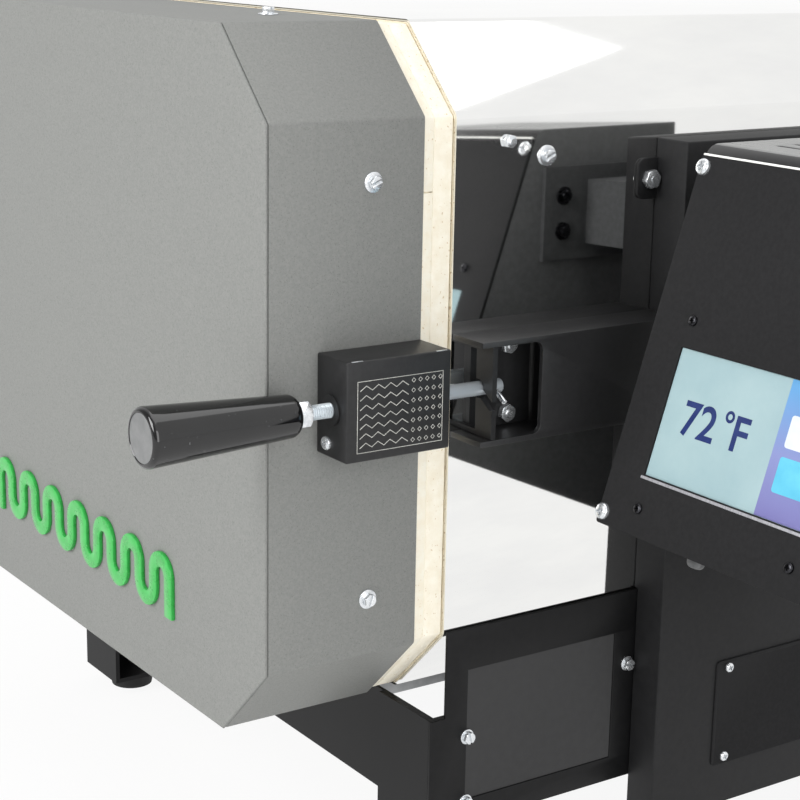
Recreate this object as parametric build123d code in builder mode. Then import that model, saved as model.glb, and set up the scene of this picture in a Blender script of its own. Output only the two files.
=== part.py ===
from build123d import *
import os
from math import cos, radians, sin, sqrt, tan

# A front loading heat treating oven for knife blades, in millimetres.
# +X is the oven's right as seen from the front, +Y runs from the door to the back, +Z is up.
# The origin lies on the floor, under the middle of the whole oven.

os.makedirs("parts", exist_ok=True)

# Octagonal section that the door and the body share
shell_w = 450.0
shell_h = 378.0
shell_corner = 46.0
latch_height = 325.0  # latch axis above the floor, level with the middle of the octagon

# Clearances
slip = 0.3  # pieces that are laid in beside each other
joint = 0.2  # between bricks
hole_play = 0.3  # screw shank to its hole, on the radius
running = 0.05  # shaft to its bore, on the radius

# Door
door_face_t = 2.0
door_wall = 2.0
door_lip = 14.0
door_edge = 0.4
door_steel_depth = 94.5
backing_t = 46.0
brick_proud = 7.0  # cream brick that shows behind the steel
board_t = 12.0  # thicker cream board at the back of the door
door_gap = 0.5  # door to body when shut
door_screw_depth = 62.8  # from the door's front face
door_screw_spread = 111.4  # above and below the latch axis
door_screw_side = 120.0  # left and right of the middle, on the top and the bottom

# Body and chamber
jacket_t = 1.2
brick_t = 63.5
chamber_w = 228.6
chamber_h = 171.5
chamber_depth = 457.2
rear_wool_t = 52.0
back_panel_t = 2.0

# Heating elements
element_r = 3.5
element_groove = 11.0
element_sink = 2.0  # from the chamber wall to the element's centre
element_spread = 45.0
element_bend = 6.0
element_front = 24.0  # behind the front brick
element_tail = 22.0  # behind the back panel
bushing_r = 8.0
bushing_flange_r = 11.0
bushing_flange_t = 4.0
connector_r = 6.5
connector_l = 12.0

# Thermocouple
probe_r = 3.0
probe_reach = 40.0
probe_up = 60.0
probe_tail = 14.0
probe_head_w = 26.0
probe_head_h = 18.0
probe_head_over = 4.0
probe_head_round = 3.0
tail_play = 1.5

# Rear cover
cover_w = 300.0
cover_h = 170.0
cover_depth = 45.0
cover_t = 1.5
cover_flange = 12.0
cover_round = 1.2
panel_screw_in = 20.0
vent_w = 4.0
vent_l = 24.0
vent_pitch = 12.0
vent_count = 15
gland_r = 11.0
gland_bore_r = 6.0
gland_reach = 10.0
gland_inside = 8.0
gland_x = 100.0
gland_drop = 45.0
gland_neck = 2.0
gland_round = 2.5

# Door hinges
hinge_out = 10.0  # hinge axis outside the left side
barrel_r = 7.0
hinge_pin_r = 3.0
hinge_spread = 80.0
door_knuckle = 24.0
body_knuckle = 14.0
knuckle_gap = 0.4
leaf_t = 2.0
leaf_reach = 50.0
leaf_back = 3.0  # from the hinge axis plane to the leaf's near edge
web_depth = 9.0
pin_head_r = 4.6
pin_head_h = 2.0
web_start = 2.0  # from the hinge axis
leaf_screw_steps = (-12.0, 10.0)
door_leaf_screw_in = 5.0
body_leaf_screw_in = 8.0

# Latch on the door
rod_out = 14.0  # rod axis outside the right side
rod_r = 3.97
box_front = 30.6  # latch box behind the door's front face
latch_box_w = 28.0
latch_box_l = 63.4
latch_box_up = 27.0
latch_box_down = 25.3
latch_wall = 2.0
latch_round = 0.8
bracket_t = 2.0
bracket_tab_over = 5.0
bracket_tab_past = 6.0
stud_show = 14.4
lock_nut_h = 6.4
lock_nut_af = 12.7
lock_nut_edge = 0.6
grip_l = 85.8
grip_r = 15.35
grip_end_r = 10.85
grip_round = 5.0
grip_edge = 1.2
rod_in_grip = 42.0
rod_tip = 42.5  # behind the latch box
rod_edge = 0.8
pin_back = 4.5  # roll pin before the rod's tip
pin_r = 1.5
pin_hole_r = 0.7
pin_reach = 12.5
pin_droop = 33.0
bush_r = 6.0
bush_flange_r = 8.0
bush_flange_t = 1.0
collar_r = 8.0
collar_l = 8.0
collar_in = 24.0  # behind the latch box's front
washer_t = 1.5
washer_under = 0.5
spring_r = 6.3
spring_wire_r = 0.8
spring_turns = 7
push_travel = 6.0
push_spare = 0.4
latch_screw_x = 10.3
latch_screw_drop = 18.0

# Catch and guard beam on the body's right side
plate_t = 3.0
catch_front = 8.0  # behind the body's front
catch_leg = 43.0
catch_open = 12.3  # clear between the oven's side and the catch's face
catch_bolt_y = 27.0  # behind the catch's front
catch_bolt_spread = 19.0
catch_stud_r = 2.2
slot_play = 1.2
beam_out = 27.0
beam_up = 27.5
beam_down = 29.0
beam_front = 1.0  # behind the body's front
beam_web_front = 41.0
beam_back_wall = 54.0
beam_round = 5.0
side_nut_at = (34.0, 128.0)  # behind the body's front, above the latch axis
side_screw_at = (60.0, 119.0)
side_stud_r = 1.8

# Side enclosure
side_front = 138.0  # behind the body's front
side_l = 368.0
side_w = 25.4
side_up = 125.0
side_down = 284.0
side_t = 1.5
ear_l = 14.2
ear_h = 23.0
ear_drop = 11.0
ear_t = 2.0
ear_corner = 5.0
ear_nut_in = 6.0
case_round = 1.0
plate_w = 100.0
plate_h = 68.0
plate_back = 46.0
plate_drop = 189.0
plate_edge = 5.0
plate_round = 3.0
label_t = 1.0
relay_l = 45.0
relay_h = 58.0
relay_t = 21.0
relay_back = 60.0
relay_drop = 60.0
relay_pitch = 65.0
terminal = 8.0
terminal_spread = 19.0
terminal_in = 8.0

# Control box
box_gap = 71.5  # from the body's side to the control box
box_w = 162.7
box_tilt = 18.0
box_face_y = 179.34  # face at the latch's height, behind the door's front face
face_down = 67.2
face_up = 132.1
box_top = 130.3
box_back = 330.0
box_bottom_slope = 24.9
box_corner = 6.0
box_t = 2.0
face_t = 2.0
face_lip = 6.0
face_round = 1.5
face_hole_past = 0.5
glass_edge = 0.3
screen_left = 24.6
screen_right = 138.1
screen_low = -35.3
screen_high = 32.8
glass_t = 2.0
module_t = 10.0
module_left = 20.0
module_right = 142.7
module_low = -59.0
module_high = 53.0
display_screw_left = 28.0
display_screw_right = 134.7
display_screw_low = -52.9
display_screw_high = 47.0
corner_screw_in = 3.7
corner_screw_low = -60.8
corner_screw_high = 125.0

supply_l = 52.0
supply_h = 34.0
supply_round = 1.5
board_in = 30.0
board_back = 10.0
board_sheet_t = 1.6
board_down = 40.0
board_up = 70.0
chip_count = 3
chip_pitch = 30.0
chip_w = 20.0
chip_h = 22.0
chip_t = 14.0
chip_in = 10.0
chip_up = 12.0
post_r = 3.0
post_in = 6.0

# Arm that carries the control box
arm_w = 34.0
arm_h = 40.0
arm_t = 2.0
arm_back = 8.0  # behind the enclosure's front
arm_up = 58.0
arm_plate_t = 3.0
arm_plate_front = 32.0
arm_plate_back = 10.0
arm_plate_lip = 9.0
arm_bolt_in = 14.0

# Power switch on the control box's right side
switch_up = 20.0
switch_back = 260.0
bezel_t = 2.0
bezel_w = 22.0
bezel_h = 32.0
bezel_lap = 1.0
bezel_rim = 3.0
bezel_round = 0.8
rocker_w = 15.0
rocker_half = 11.4
rocker_mid = 4.0
rocker_slope = 12.0
rocker_base = 3.0
rocker_play = 0.3
rocker_sink = 4.5
switch_depth = 9.0
switch_wall = 2.0
trunnion_r = 1.2
trunnion_l = 1.0

# Stand
stand_front = -9.0  # from the body's front
stand_overlap = 2.0  # side sheets over the body's flat side
sheet_t = 2.0
sheet_band = 25.0
sheet_low = 260.0  # from the latch axis down to the sheets' lower edge
sheet_sill = 15.0
pan_sink = 1.0
pan_edge = 15.0
leg_w = 50.0
leg_t = 3.0
leg_gap = 3.0  # below the body
foot_h = 12.0
foot_r = 17.0
foot_plate_t = 3.0
foot_taper = 2.0
foot_stud_up = 4.0
rail_t = 2.0
rail_lip = 16.0
rail_up = 6.0
notch_gap = 1.0
mid_bolt_in = 5.0
mid_bolt_drop = 186.7
leg_bolt_down = 14.0
cradle_w = 30.0
cradle_wall = 2.0
cradle_spread = 115.0

# Fasteners
screw_r = 2.0
screw_l = 8.0
small_r = 1.2
bolt_r = 3.0

# Places worked out from the sizes above
rocker_reach = (
    (rocker_mid + rocker_half * tan(radians(rocker_slope))) * cos(radians(rocker_slope))
    + rocker_half * sin(radians(rocker_slope))
    - rocker_sink
)
left_reach = shell_w + hinge_out + barrel_r
right_reach = box_gap + box_w + bezel_t + rocker_reach
side_x = (left_reach - right_reach) / 2
shell_x = side_x - shell_w / 2
left_x = side_x - shell_w

door_depth = door_steel_depth + brick_proud + board_t
body_reach = door_depth + door_gap
body_l = chamber_depth + brick_t + rear_wool_t
back_reach = body_reach + body_l + back_panel_t + cover_depth + gland_reach
grip_reach = grip_l + lock_nut_h + stud_show - box_front
front_y = -(back_reach - grip_reach) / 2

door_back_y = front_y + door_depth
body_y = front_y + body_reach
collar_back_y = body_y + brick_t
chamber_back_y = body_y + chamber_depth
rear_brick_y = chamber_back_y + brick_t
wool_back_y = rear_brick_y + rear_wool_t
back_y = wool_back_y + back_panel_t
cover_back_y = back_y + cover_depth

mid_z = latch_height
rod_x = side_x + rod_out
brick_w = chamber_w + 2 * brick_t
brick_h = chamber_h + 2 * brick_t
bottom_z = mid_z - shell_h / 2


def front_plane(y, x=0.0, z=0.0):
    """Plane that faces the front: local x is +X, local y is +Z."""
    return Plane(origin=(x, y, z), x_dir=(1, 0, 0), z_dir=(0, -1, 0))


def side_plane(x, y=0.0, z=0.0):
    """Plane that faces the right: local x is +Y, local y is +Z."""
    return Plane(origin=(x, y, z), x_dir=(0, 1, 0), z_dir=(1, 0, 0))


def block(x, y, z, mode=Mode.ADD):
    """Box between two limits on each axis."""
    with BuildSketch(Plane.XY.offset(z[0])) as outline:
        with Locations(((x[0] + x[1]) / 2, (y[0] + y[1]) / 2)):
            Rectangle(x[1] - x[0], y[1] - y[0])
    extrude(outline.sketch, amount=z[1] - z[0], mode=mode)


def bar(start, direction, length, radius, mode=Mode.ADD):
    """Round bar from start, along a direction."""
    with BuildSketch(Plane(origin=start, z_dir=direction)) as outline:
        Circle(radius)
    extrude(outline.sketch, amount=length, mode=mode)


def shell_prism(y, inset, mode=Mode.ADD):
    """Octagon of the shell, drawn an even distance inside its surface, between two depths."""
    with BuildSketch(front_plane(y[0], shell_x, mid_z)) as outline:
        Rectangle(shell_w - 2 * inset, shell_h - 2 * inset)
        chamfer(outline.vertices(), shell_corner - inset * (2 - sqrt(2)))
    extrude(outline.sketch, amount=-(y[1] - y[0]), mode=mode)


def drill(planes, radius, depth):
    """Blind holes, each from a plane against its normal."""
    for plane in planes:
        with BuildSketch(plane) as outline:
            Circle(radius)
        extrude(outline.sketch, amount=-depth, mode=Mode.SUBTRACT)


def place(piece, planes):
    """Copies of a fastener, its bearing face on each plane."""
    with Locations(*planes):
        add(piece)


def finish(part, name):
    """Label a finished piece and write it."""
    part.label = name
    export_step(part, f"parts/{name}.step")


seat = (Align.CENTER, Align.CENTER, Align.MIN)
hang = (Align.CENTER, Align.CENTER, Align.MAX)


def pan_screw(head_r, head_h, shank_r, length):
    """Pan head screw with a cross recess."""
    with BuildPart() as screw:
        Cylinder(head_r, head_h, align=seat)
        fillet(screw.edges().sort_by(Axis.Z)[-1], head_h * 0.6)
        with Locations((0, 0, head_h)):
            Box(head_r, head_r * 0.24, head_h, mode=Mode.SUBTRACT)
            Box(head_r * 0.24, head_r, head_h, mode=Mode.SUBTRACT)
        Cylinder(shank_r, length, align=hang)
    return screw.part


def hex_screw(washer_r, washer_t, across, head_h, shank_r, length):
    """Hex head screw on a washer, with a slot across the head."""
    with BuildPart() as screw:
        Cylinder(washer_r, washer_t, align=seat)
        with BuildSketch(Plane.XY.offset(washer_t)):
            RegularPolygon(across / 2, 6, major_radius=False)
        extrude(amount=head_h)
        chamfer(screw.faces().sort_by(Axis.Z)[-1].edges(), head_h * 0.12)
        with Locations((0, 0, washer_t + head_h)):
            Box(across * 0.8, across * 0.16, head_h * 0.5, mode=Mode.SUBTRACT)
        Cylinder(shank_r, length, align=hang)
    return screw.part


def stud_nut(across, nut_h, stud_r, stud_out, length):
    """Hex nut on a threaded stud that passes through it."""
    with BuildPart() as nut:
        with BuildSketch():
            RegularPolygon(across / 2, 6, major_radius=False)
        extrude(amount=nut_h)
        chamfer(nut.faces().sort_by(Axis.Z)[-1].edges(), nut_h * 0.1)
        Cylinder(stud_r, nut_h + stud_out, align=seat)
        Cylinder(stud_r, length, align=hang)
    return nut.part


hex_af = 6.4
case_screw = pan_screw(head_r=3.6, head_h=2.4, shank_r=screw_r, length=screw_l)
face_screw = pan_screw(head_r=4.4, head_h=2.9, shank_r=small_r, length=6.0)
plate_screw = pan_screw(head_r=3.0, head_h=1.8, shank_r=small_r, length=6.0)
display_screw = pan_screw(head_r=2.6, head_h=1.6, shank_r=small_r, length=8.0)
washer_screw = hex_screw(5.4, 0.9, hex_af, head_h=3.4, shank_r=screw_r, length=screw_l)
wide_screw = hex_screw(5.6, 1.0, hex_af, head_h=3.4, shank_r=screw_r, length=screw_l)
stand_bolt = hex_screw(4.4, 0.8, hex_af, head_h=3.2, shank_r=screw_r, length=screw_l)
catch_nut = stud_nut(8.8, 3.6, catch_stud_r, stud_out=1.6, length=plate_t + screw_l)
side_nut = stud_nut(hex_af, 3.0, side_stud_r, stud_out=1.2, length=screw_l)
ear_nut = stud_nut(9.5, 4.0, catch_stud_r, stud_out=0.6, length=screw_l)

# Door

steel_back_y = front_y + door_steel_depth
panel_back_y = front_y + door_face_t
lip_back_y = panel_back_y + door_wall
backing_back_y = lip_back_y + backing_t
brick_back_y = steel_back_y + brick_proud
door_inset = door_wall + slip
screw_y = front_y + door_screw_depth

door_screw_planes = [
    Plane(origin=(x, screw_y, mid_z + z), z_dir=(direction, 0, 0))
    for x, direction in ((side_x, 1), (left_x, -1))
    for z in (door_screw_spread, -door_screw_spread)
]
door_screw_planes += [
    Plane(origin=(shell_x + x, screw_y, mid_z + direction * shell_h / 2), z_dir=(0, 0, direction))
    for direction in (1, -1)
    for x in (door_screw_side, -door_screw_side)
]
screw_hole_r = screw_r + hole_play
screw_hole_l = screw_l + slip

hinge_x = left_x - hinge_out
hinge_y = body_y
hinge_heights = (mid_z + hinge_spread, mid_z - hinge_spread)
hinge_half = door_knuckle / 2 + knuckle_gap + body_knuckle
hinge_bore_r = hinge_pin_r + running
leaf_screw_half = door_knuckle / 2 - door_leaf_screw_in

door_leaf_y = (hinge_y - leaf_back - leaf_reach, hinge_y - leaf_back)
body_leaf_y = (hinge_y + leaf_back, hinge_y + leaf_back + leaf_reach)


def leaf_screw_planes(leaf_y, half):
    """Screw places on both hinges' leaves."""
    middle = (leaf_y[0] + leaf_y[1]) / 2
    return [
        Plane(origin=(left_x - leaf_t, middle + step, height + side * half), z_dir=(-1, 0, 0))
        for height in hinge_heights
        for step, side in zip(leaf_screw_steps, (1, -1))
    ]


door_leaf_screws = leaf_screw_planes(door_leaf_y, leaf_screw_half)
body_leaf_screws = leaf_screw_planes(body_leaf_y, hinge_half - body_leaf_screw_in)

with BuildPart() as door_front_panel:
    shell_prism((front_y, panel_back_y), 0)
    chamfer(door_front_panel.faces().sort_by(Axis.Y)[0].edges(), door_edge)
finish(door_front_panel.part, "door_front_panel")

with BuildPart() as door_band:
    shell_prism((panel_back_y, steel_back_y), 0)
    shell_prism((panel_back_y, lip_back_y), door_lip, mode=Mode.SUBTRACT)
    shell_prism((lip_back_y, steel_back_y), door_wall, mode=Mode.SUBTRACT)
    drill(door_screw_planes, screw_hole_r, screw_hole_l)
    drill(door_leaf_screws, screw_hole_r, leaf_t + door_wall)
finish(door_band.part, "door_band")

with BuildPart() as door_backing:
    shell_prism((lip_back_y, backing_back_y), door_inset)
finish(door_backing.part, "door_backing")

with BuildPart() as door_brick:
    shell_prism((backing_back_y + slip, brick_back_y), door_inset)
    drill(door_screw_planes + door_leaf_screws, screw_hole_r, screw_hole_l)
finish(door_brick.part, "door_brick")

with BuildPart() as door_face_board:
    shell_prism((brick_back_y, door_back_y), door_inset)
finish(door_face_board.part, "door_face_board")

with BuildPart() as door_screws:
    place(washer_screw, door_screw_planes)
finish(door_screws.part, "door_screws")

# Hinges on the left side

with BuildPart() as door_hinge_leaves:
    for height in hinge_heights:
        knuckle = (height - door_knuckle / 2, height + door_knuckle / 2)
        block((left_x - leaf_t, left_x), door_leaf_y, knuckle)
        web_y = (door_leaf_y[1] - web_depth, door_leaf_y[1])
        block((hinge_x + web_start, left_x), web_y, knuckle)
        bar((hinge_x, hinge_y, knuckle[0]), (0, 0, 1), door_knuckle, barrel_r)
        bar((hinge_x, hinge_y, knuckle[0]), (0, 0, 1), door_knuckle, hinge_bore_r, mode=Mode.SUBTRACT)
    drill(door_leaf_screws, screw_hole_r, leaf_t)
finish(door_hinge_leaves.part, "door_hinge_leaves")

with BuildPart() as body_hinge_leaves:
    for height in hinge_heights:
        leaf_z = (height - hinge_half, height + hinge_half)
        block((left_x - leaf_t, left_x), body_leaf_y, leaf_z)
        web_y = (body_leaf_y[0], body_leaf_y[0] + web_depth)
        for low in (height - hinge_half, height + hinge_half - body_knuckle):
            knuckle = (low, low + body_knuckle)
            block((hinge_x + web_start, left_x), web_y, knuckle)
            bar((hinge_x, hinge_y, low), (0, 0, 1), body_knuckle, barrel_r)
            bar((hinge_x, hinge_y, low), (0, 0, 1), body_knuckle, hinge_bore_r, mode=Mode.SUBTRACT)
    drill(body_leaf_screws, screw_hole_r, leaf_t)
finish(body_hinge_leaves.part, "body_hinge_leaves")

with BuildPart() as hinge_pins:
    for height in hinge_heights:
        bar((hinge_x, hinge_y, height - hinge_half), (0, 0, 1), 2 * hinge_half, hinge_pin_r)
        bar((hinge_x, hinge_y, height + hinge_half), (0, 0, 1), pin_head_h, pin_head_r)
finish(hinge_pins.part, "hinge_pins")

# Latch on the door's right side

box_front_y = front_y + box_front
box_back_y = box_front_y + latch_box_l
box_z = (mid_z - latch_box_down, mid_z + latch_box_up)
tip_y = box_back_y + rod_tip
grip_back_y = box_front_y - stud_show - lock_nut_h
grip_front_y = grip_back_y - grip_l
collar_y = box_front_y + collar_in
spring_y = collar_y + collar_l + washer_t
spring_end_y = box_back_y - latch_wall - push_travel - push_spare
latch_screw_plane = front_plane(box_front_y, side_x + latch_screw_x, mid_z - latch_screw_drop)

with BuildPart() as latch_box:
    block((side_x, side_x + latch_box_w), (box_front_y, box_back_y), box_z)
    fillet(latch_box.faces().sort_by(Axis.X)[-1].edges(), latch_round)
    block(
        (side_x, side_x + latch_box_w - latch_wall),
        (box_front_y + latch_wall, box_back_y - latch_wall),
        (box_z[0] + latch_wall, box_z[1] - latch_wall),
        mode=Mode.SUBTRACT,
    )
    bar((rod_x, box_front_y, mid_z), (0, 1, 0), latch_box_l, bush_r + running, mode=Mode.SUBTRACT)
    drill([latch_screw_plane], screw_hole_r, latch_wall)
finish(latch_box.part, "latch_box")

bracket_y = (box_front_y + latch_wall + slip, box_back_y - latch_wall - slip)
with BuildPart() as latch_bracket:
    block(
        (side_x, side_x + bracket_t),
        bracket_y,
        (box_z[0] + latch_wall + slip, box_z[1] - latch_wall - slip),
    )
    tab_top = mid_z - latch_screw_drop + bracket_tab_over
    block(
        (side_x, side_x + latch_screw_x + bracket_tab_past),
        (bracket_y[0], bracket_y[0] + bracket_t),
        (box_z[0] + latch_wall + slip, tab_top),
    )
    drill([latch_screw_plane], screw_hole_r, latch_wall + slip + bracket_t)
finish(latch_bracket.part, "latch_bracket")

with BuildPart() as door_pan_screws:
    place(case_screw, door_leaf_screws + [latch_screw_plane])
finish(door_pan_screws.part, "door_pan_screws")

with BuildPart() as latch_bushes:
    for wall_y, flange_y in (
        (box_front_y, box_front_y - bush_flange_t),
        (box_back_y - latch_wall, box_back_y),
    ):
        bar((rod_x, wall_y, mid_z), (0, 1, 0), latch_wall, bush_r)
        bar((rod_x, flange_y, mid_z), (0, 1, 0), bush_flange_t, bush_flange_r)
    bar(
        (rod_x, box_front_y - bush_flange_t, mid_z),
        (0, 1, 0),
        latch_box_l + 2 * bush_flange_t,
        rod_r + running,
        mode=Mode.SUBTRACT,
    )
finish(latch_bushes.part, "latch_bushes")

with BuildPart() as thrust_washer:
    bar((rod_x, collar_y + collar_l, mid_z), (0, 1, 0), washer_t, collar_r - washer_under)
    bar((rod_x, collar_y + collar_l, mid_z), (0, 1, 0), washer_t, rod_r + running, mode=Mode.SUBTRACT)
finish(thrust_washer.part, "thrust_washer")

spring_l = spring_end_y - spring_y - 2 * spring_wire_r
with BuildPart() as latch_spring:
    with BuildLine() as coil:
        Helix(
            pitch=spring_l / spring_turns,
            height=spring_l,
            radius=spring_r,
            center=(rod_x, spring_y + spring_wire_r, mid_z),
            direction=(0, 1, 0),
        )
    with BuildSketch(Plane(origin=coil.line @ 0, z_dir=coil.line % 0)):
        Circle(spring_wire_r)
    sweep(path=coil.line)
finish(latch_spring.part, "latch_spring")

pin_y = tip_y - pin_back
pin_dir = (cos(radians(pin_droop)), 0, -sin(radians(pin_droop)))
pin_start = (rod_x - rod_r * pin_dir[0], pin_y, mid_z - rod_r * pin_dir[2])
with BuildPart() as latch_rod:
    bar((rod_x, grip_back_y - rod_in_grip, mid_z), (0, 1, 0), tip_y - grip_back_y + rod_in_grip, rod_r)
    chamfer(latch_rod.faces().sort_by(Axis.Y)[-1].edges(), rod_edge)
    bar(pin_start, pin_dir, 2 * rod_r, pin_r, mode=Mode.SUBTRACT)
finish(latch_rod.part, "latch_rod")

with BuildPart() as latch_collar:
    bar((rod_x, collar_y, mid_z), (0, 1, 0), collar_l, collar_r)
    bar((rod_x, collar_y, mid_z), (0, 1, 0), collar_l, rod_r + running / 2, mode=Mode.SUBTRACT)
    bar((rod_x, collar_y + collar_l / 2, mid_z), (0, 0, 1), collar_r, screw_r, mode=Mode.SUBTRACT)
finish(latch_collar.part, "latch_collar")

with BuildPart() as latch_grip:
    with BuildSketch(Plane(origin=(rod_x, grip_front_y, mid_z), x_dir=(1, 0, 0), z_dir=(0, 0, 1))) as half:
        with BuildLine():
            Polyline((0, 0), (grip_r, 0), (grip_end_r, grip_l), (0, grip_l), close=True)
        make_face()
        fillet(half.vertices().group_by(Axis.Y)[-1].sort_by(Axis.X)[-1], grip_round)
        fillet(half.vertices().group_by(Axis.Y)[0].sort_by(Axis.X)[-1], grip_edge)
    revolve(axis=Axis((rod_x, grip_front_y, mid_z), (0, 1, 0)))
    bar(
        (rod_x, grip_back_y - rod_in_grip, mid_z),
        (0, 1, 0),
        rod_in_grip,
        rod_r + running,
        mode=Mode.SUBTRACT,
    )
finish(latch_grip.part, "latch_grip")

with BuildPart() as latch_lock_nut:
    with BuildSketch(front_plane(grip_back_y, rod_x, mid_z)):
        RegularPolygon(lock_nut_af / 2, 6, major_radius=False)
    extrude(amount=-lock_nut_h)
    chamfer(latch_lock_nut.faces().sort_by(Axis.Y)[-1].edges(), lock_nut_edge)
    bar((rod_x, grip_back_y, mid_z), (0, 1, 0), lock_nut_h, rod_r + running / 2, mode=Mode.SUBTRACT)
finish(latch_lock_nut.part, "latch_lock_nut")

with BuildPart() as latch_roll_pin:
    bar(pin_start, pin_dir, rod_r + pin_reach, pin_r)
    bar(pin_start, pin_dir, rod_r + pin_reach, pin_hole_r, mode=Mode.SUBTRACT)
finish(latch_roll_pin.part, "latch_roll_pin")

# Catch and guard beam

catch_y = body_y + catch_front
beam_z = (mid_z - beam_down, mid_z + beam_up)
catch_z = (beam_z[0] + plate_t + slip, beam_z[1] - plate_t - slip)
side_y = body_y + side_front
catch_bolt_planes = [
    Plane(origin=(side_x + plate_t, catch_y + catch_bolt_y, mid_z + z), z_dir=(1, 0, 0))
    for z in (catch_bolt_spread, -catch_bolt_spread)
]
slot_l = pin_reach + slot_play

with BuildPart() as catch_plate:
    block((side_x, side_x + plate_t), (catch_y, catch_y + catch_leg), catch_z)
    block((side_x, side_x + beam_out - slip), (catch_y, catch_y + plate_t), catch_z)
    open_z = (catch_z[0] + plate_t, catch_z[1] - plate_t)
    block((side_x, side_x + catch_open), (catch_y, catch_y + plate_t), open_z, mode=Mode.SUBTRACT)
    bar((rod_x, catch_y, mid_z), (0, 1, 0), plate_t, rod_r + slot_play, mode=Mode.SUBTRACT)
    slot_plane = Plane(origin=(rod_x, catch_y, mid_z), x_dir=pin_dir, z_dir=(0, 1, 0))
    with BuildSketch(slot_plane):
        with Locations((slot_l / 2, 0)):
            SlotOverall(slot_l + 2 * (pin_r + slot_play), 2 * (pin_r + slot_play))
    extrude(amount=plate_t, mode=Mode.SUBTRACT)
    drill(catch_bolt_planes, catch_stud_r + hole_play, plate_t)
finish(catch_plate.part, "catch_plate")

with BuildPart() as catch_fasteners:
    place(catch_nut, catch_bolt_planes)
finish(catch_fasteners.part, "catch_fasteners")

with BuildPart() as catch_beam:
    beam_x = (side_x, side_x + beam_out)
    block(beam_x, (body_y + beam_front, side_y), beam_z)
    block(
        (beam_x[0] + plate_t, beam_x[1] - plate_t),
        (body_y + beam_front, side_y),
        (beam_z[0] + plate_t, beam_z[1] - plate_t),
        mode=Mode.SUBTRACT,
    )
    block(
        (beam_x[0], beam_x[0] + plate_t),
        (body_y + beam_front, body_y + beam_back_wall),
        (beam_z[0] + plate_t, beam_z[1] - plate_t),
        mode=Mode.SUBTRACT,
    )
    notch_l = 2 * (beam_web_front - beam_front)
    with BuildSketch(side_plane(beam_x[1] - plate_t, body_y + beam_front, (beam_z[0] + beam_z[1]) / 2)):
        RectangleRounded(notch_l, beam_z[1] - beam_z[0] - 2 * plate_t, beam_round)
    extrude(amount=plate_t, mode=Mode.SUBTRACT)
finish(catch_beam.part, "catch_beam")

# Body

jacket_inset = jacket_t + slip
wall_x = chamber_w / 2
element_planes = [
    (side * (wall_x + element_sink), up)
    for side in (-1, 1)
    for up in (element_spread, -element_spread)
]
ear_nut_y = side_y - ear_nut_in
ear_nut_z = mid_z + side_up - ear_drop - ear_h / 2
side_nut_planes = [side_plane(side_x, body_y + side_nut_at[0], mid_z + side_nut_at[1])]
side_screw_planes = [side_plane(side_x, body_y + side_screw_at[0], mid_z + side_screw_at[1])]
ear_nut_planes = [side_plane(side_x + ear_t, ear_nut_y, ear_nut_z)]
jacket_holes = side_nut_planes + side_screw_planes + ear_nut_planes + body_leaf_screws + catch_bolt_planes
jacket_hole_r = catch_stud_r + hole_play
jacket_hole_l = screw_l + plate_t + slip

with BuildPart() as body_jacket:
    shell_prism((body_y, wool_back_y), 0)
    shell_prism((body_y, wool_back_y), jacket_t, mode=Mode.SUBTRACT)
    drill(jacket_holes, jacket_hole_r, jacket_hole_l)
finish(body_jacket.part, "body_jacket")


with BuildPart() as front_brick:
    collar_y = (body_y, collar_back_y)
    shell_prism(collar_y, jacket_inset)
    chamber_z = (mid_z - chamber_h / 2, mid_z + chamber_h / 2)
    block((shell_x - wall_x, shell_x + wall_x), collar_y, chamber_z, mode=Mode.SUBTRACT)
    for level in (mid_z - chamber_h / 2 - joint, mid_z + chamber_h / 2):
        block((left_x, side_x), collar_y, (level, level + joint), mode=Mode.SUBTRACT)
    drill(jacket_holes, jacket_hole_r, jacket_hole_l)
finish(front_brick.part, "front_brick")

brick_y = (collar_back_y + joint, chamber_back_y - joint)
with BuildPart() as floor_and_roof_bricks:
    for low in (mid_z - brick_h / 2, mid_z + chamber_h / 2):
        block((shell_x - brick_w / 2, shell_x + brick_w / 2), brick_y, (low, low + brick_t))
finish(floor_and_roof_bricks.part, "floor_and_roof_bricks")

element_y = collar_back_y + element_front
with BuildPart() as side_bricks:
    for side in (-1, 1):
        inner = shell_x + side * wall_x
        outer = shell_x + side * brick_w / 2
        deep = inner + side * (element_sink + element_groove / 2)
        block(
            (min(inner, outer), max(inner, outer)),
            brick_y,
            (mid_z - chamber_h / 2 + joint, mid_z + chamber_h / 2 - joint),
        )
        groove_x = (min(inner, deep), max(inner, deep))
        for up in (element_spread, -element_spread):
            groove_z = (mid_z + up - element_groove / 2, mid_z + up + element_groove / 2)
            block(groove_x, (element_y - element_groove / 2, brick_y[1]), groove_z, mode=Mode.SUBTRACT)
        block(
            groove_x,
            (element_y - element_groove / 2, element_y + element_groove / 2),
            (mid_z - element_spread, mid_z + element_spread),
            mode=Mode.SUBTRACT,
        )
finish(side_bricks.part, "side_bricks")

probe_x = shell_x
probe_z = mid_z + probe_up
tail_hole_r = element_r + tail_play
tail_end_y = back_y + element_tail


def rear_holes(y, radius):
    """Holes for the elements' tails and the probe, between two depths."""
    for x, up in element_planes:
        bar((shell_x + x, y[0], mid_z + up), (0, 1, 0), y[1] - y[0], radius, mode=Mode.SUBTRACT)
    bar((probe_x, y[0], probe_z), (0, 1, 0), y[1] - y[0], probe_r + slip, mode=Mode.SUBTRACT)


with BuildPart() as rear_brick:
    block(
        (shell_x - brick_w / 2, shell_x + brick_w / 2),
        (chamber_back_y, rear_brick_y),
        (mid_z - brick_h / 2, mid_z + brick_h / 2),
    )
    rear_holes((chamber_back_y, rear_brick_y), tail_hole_r)
finish(rear_brick.part, "rear_brick")

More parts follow.
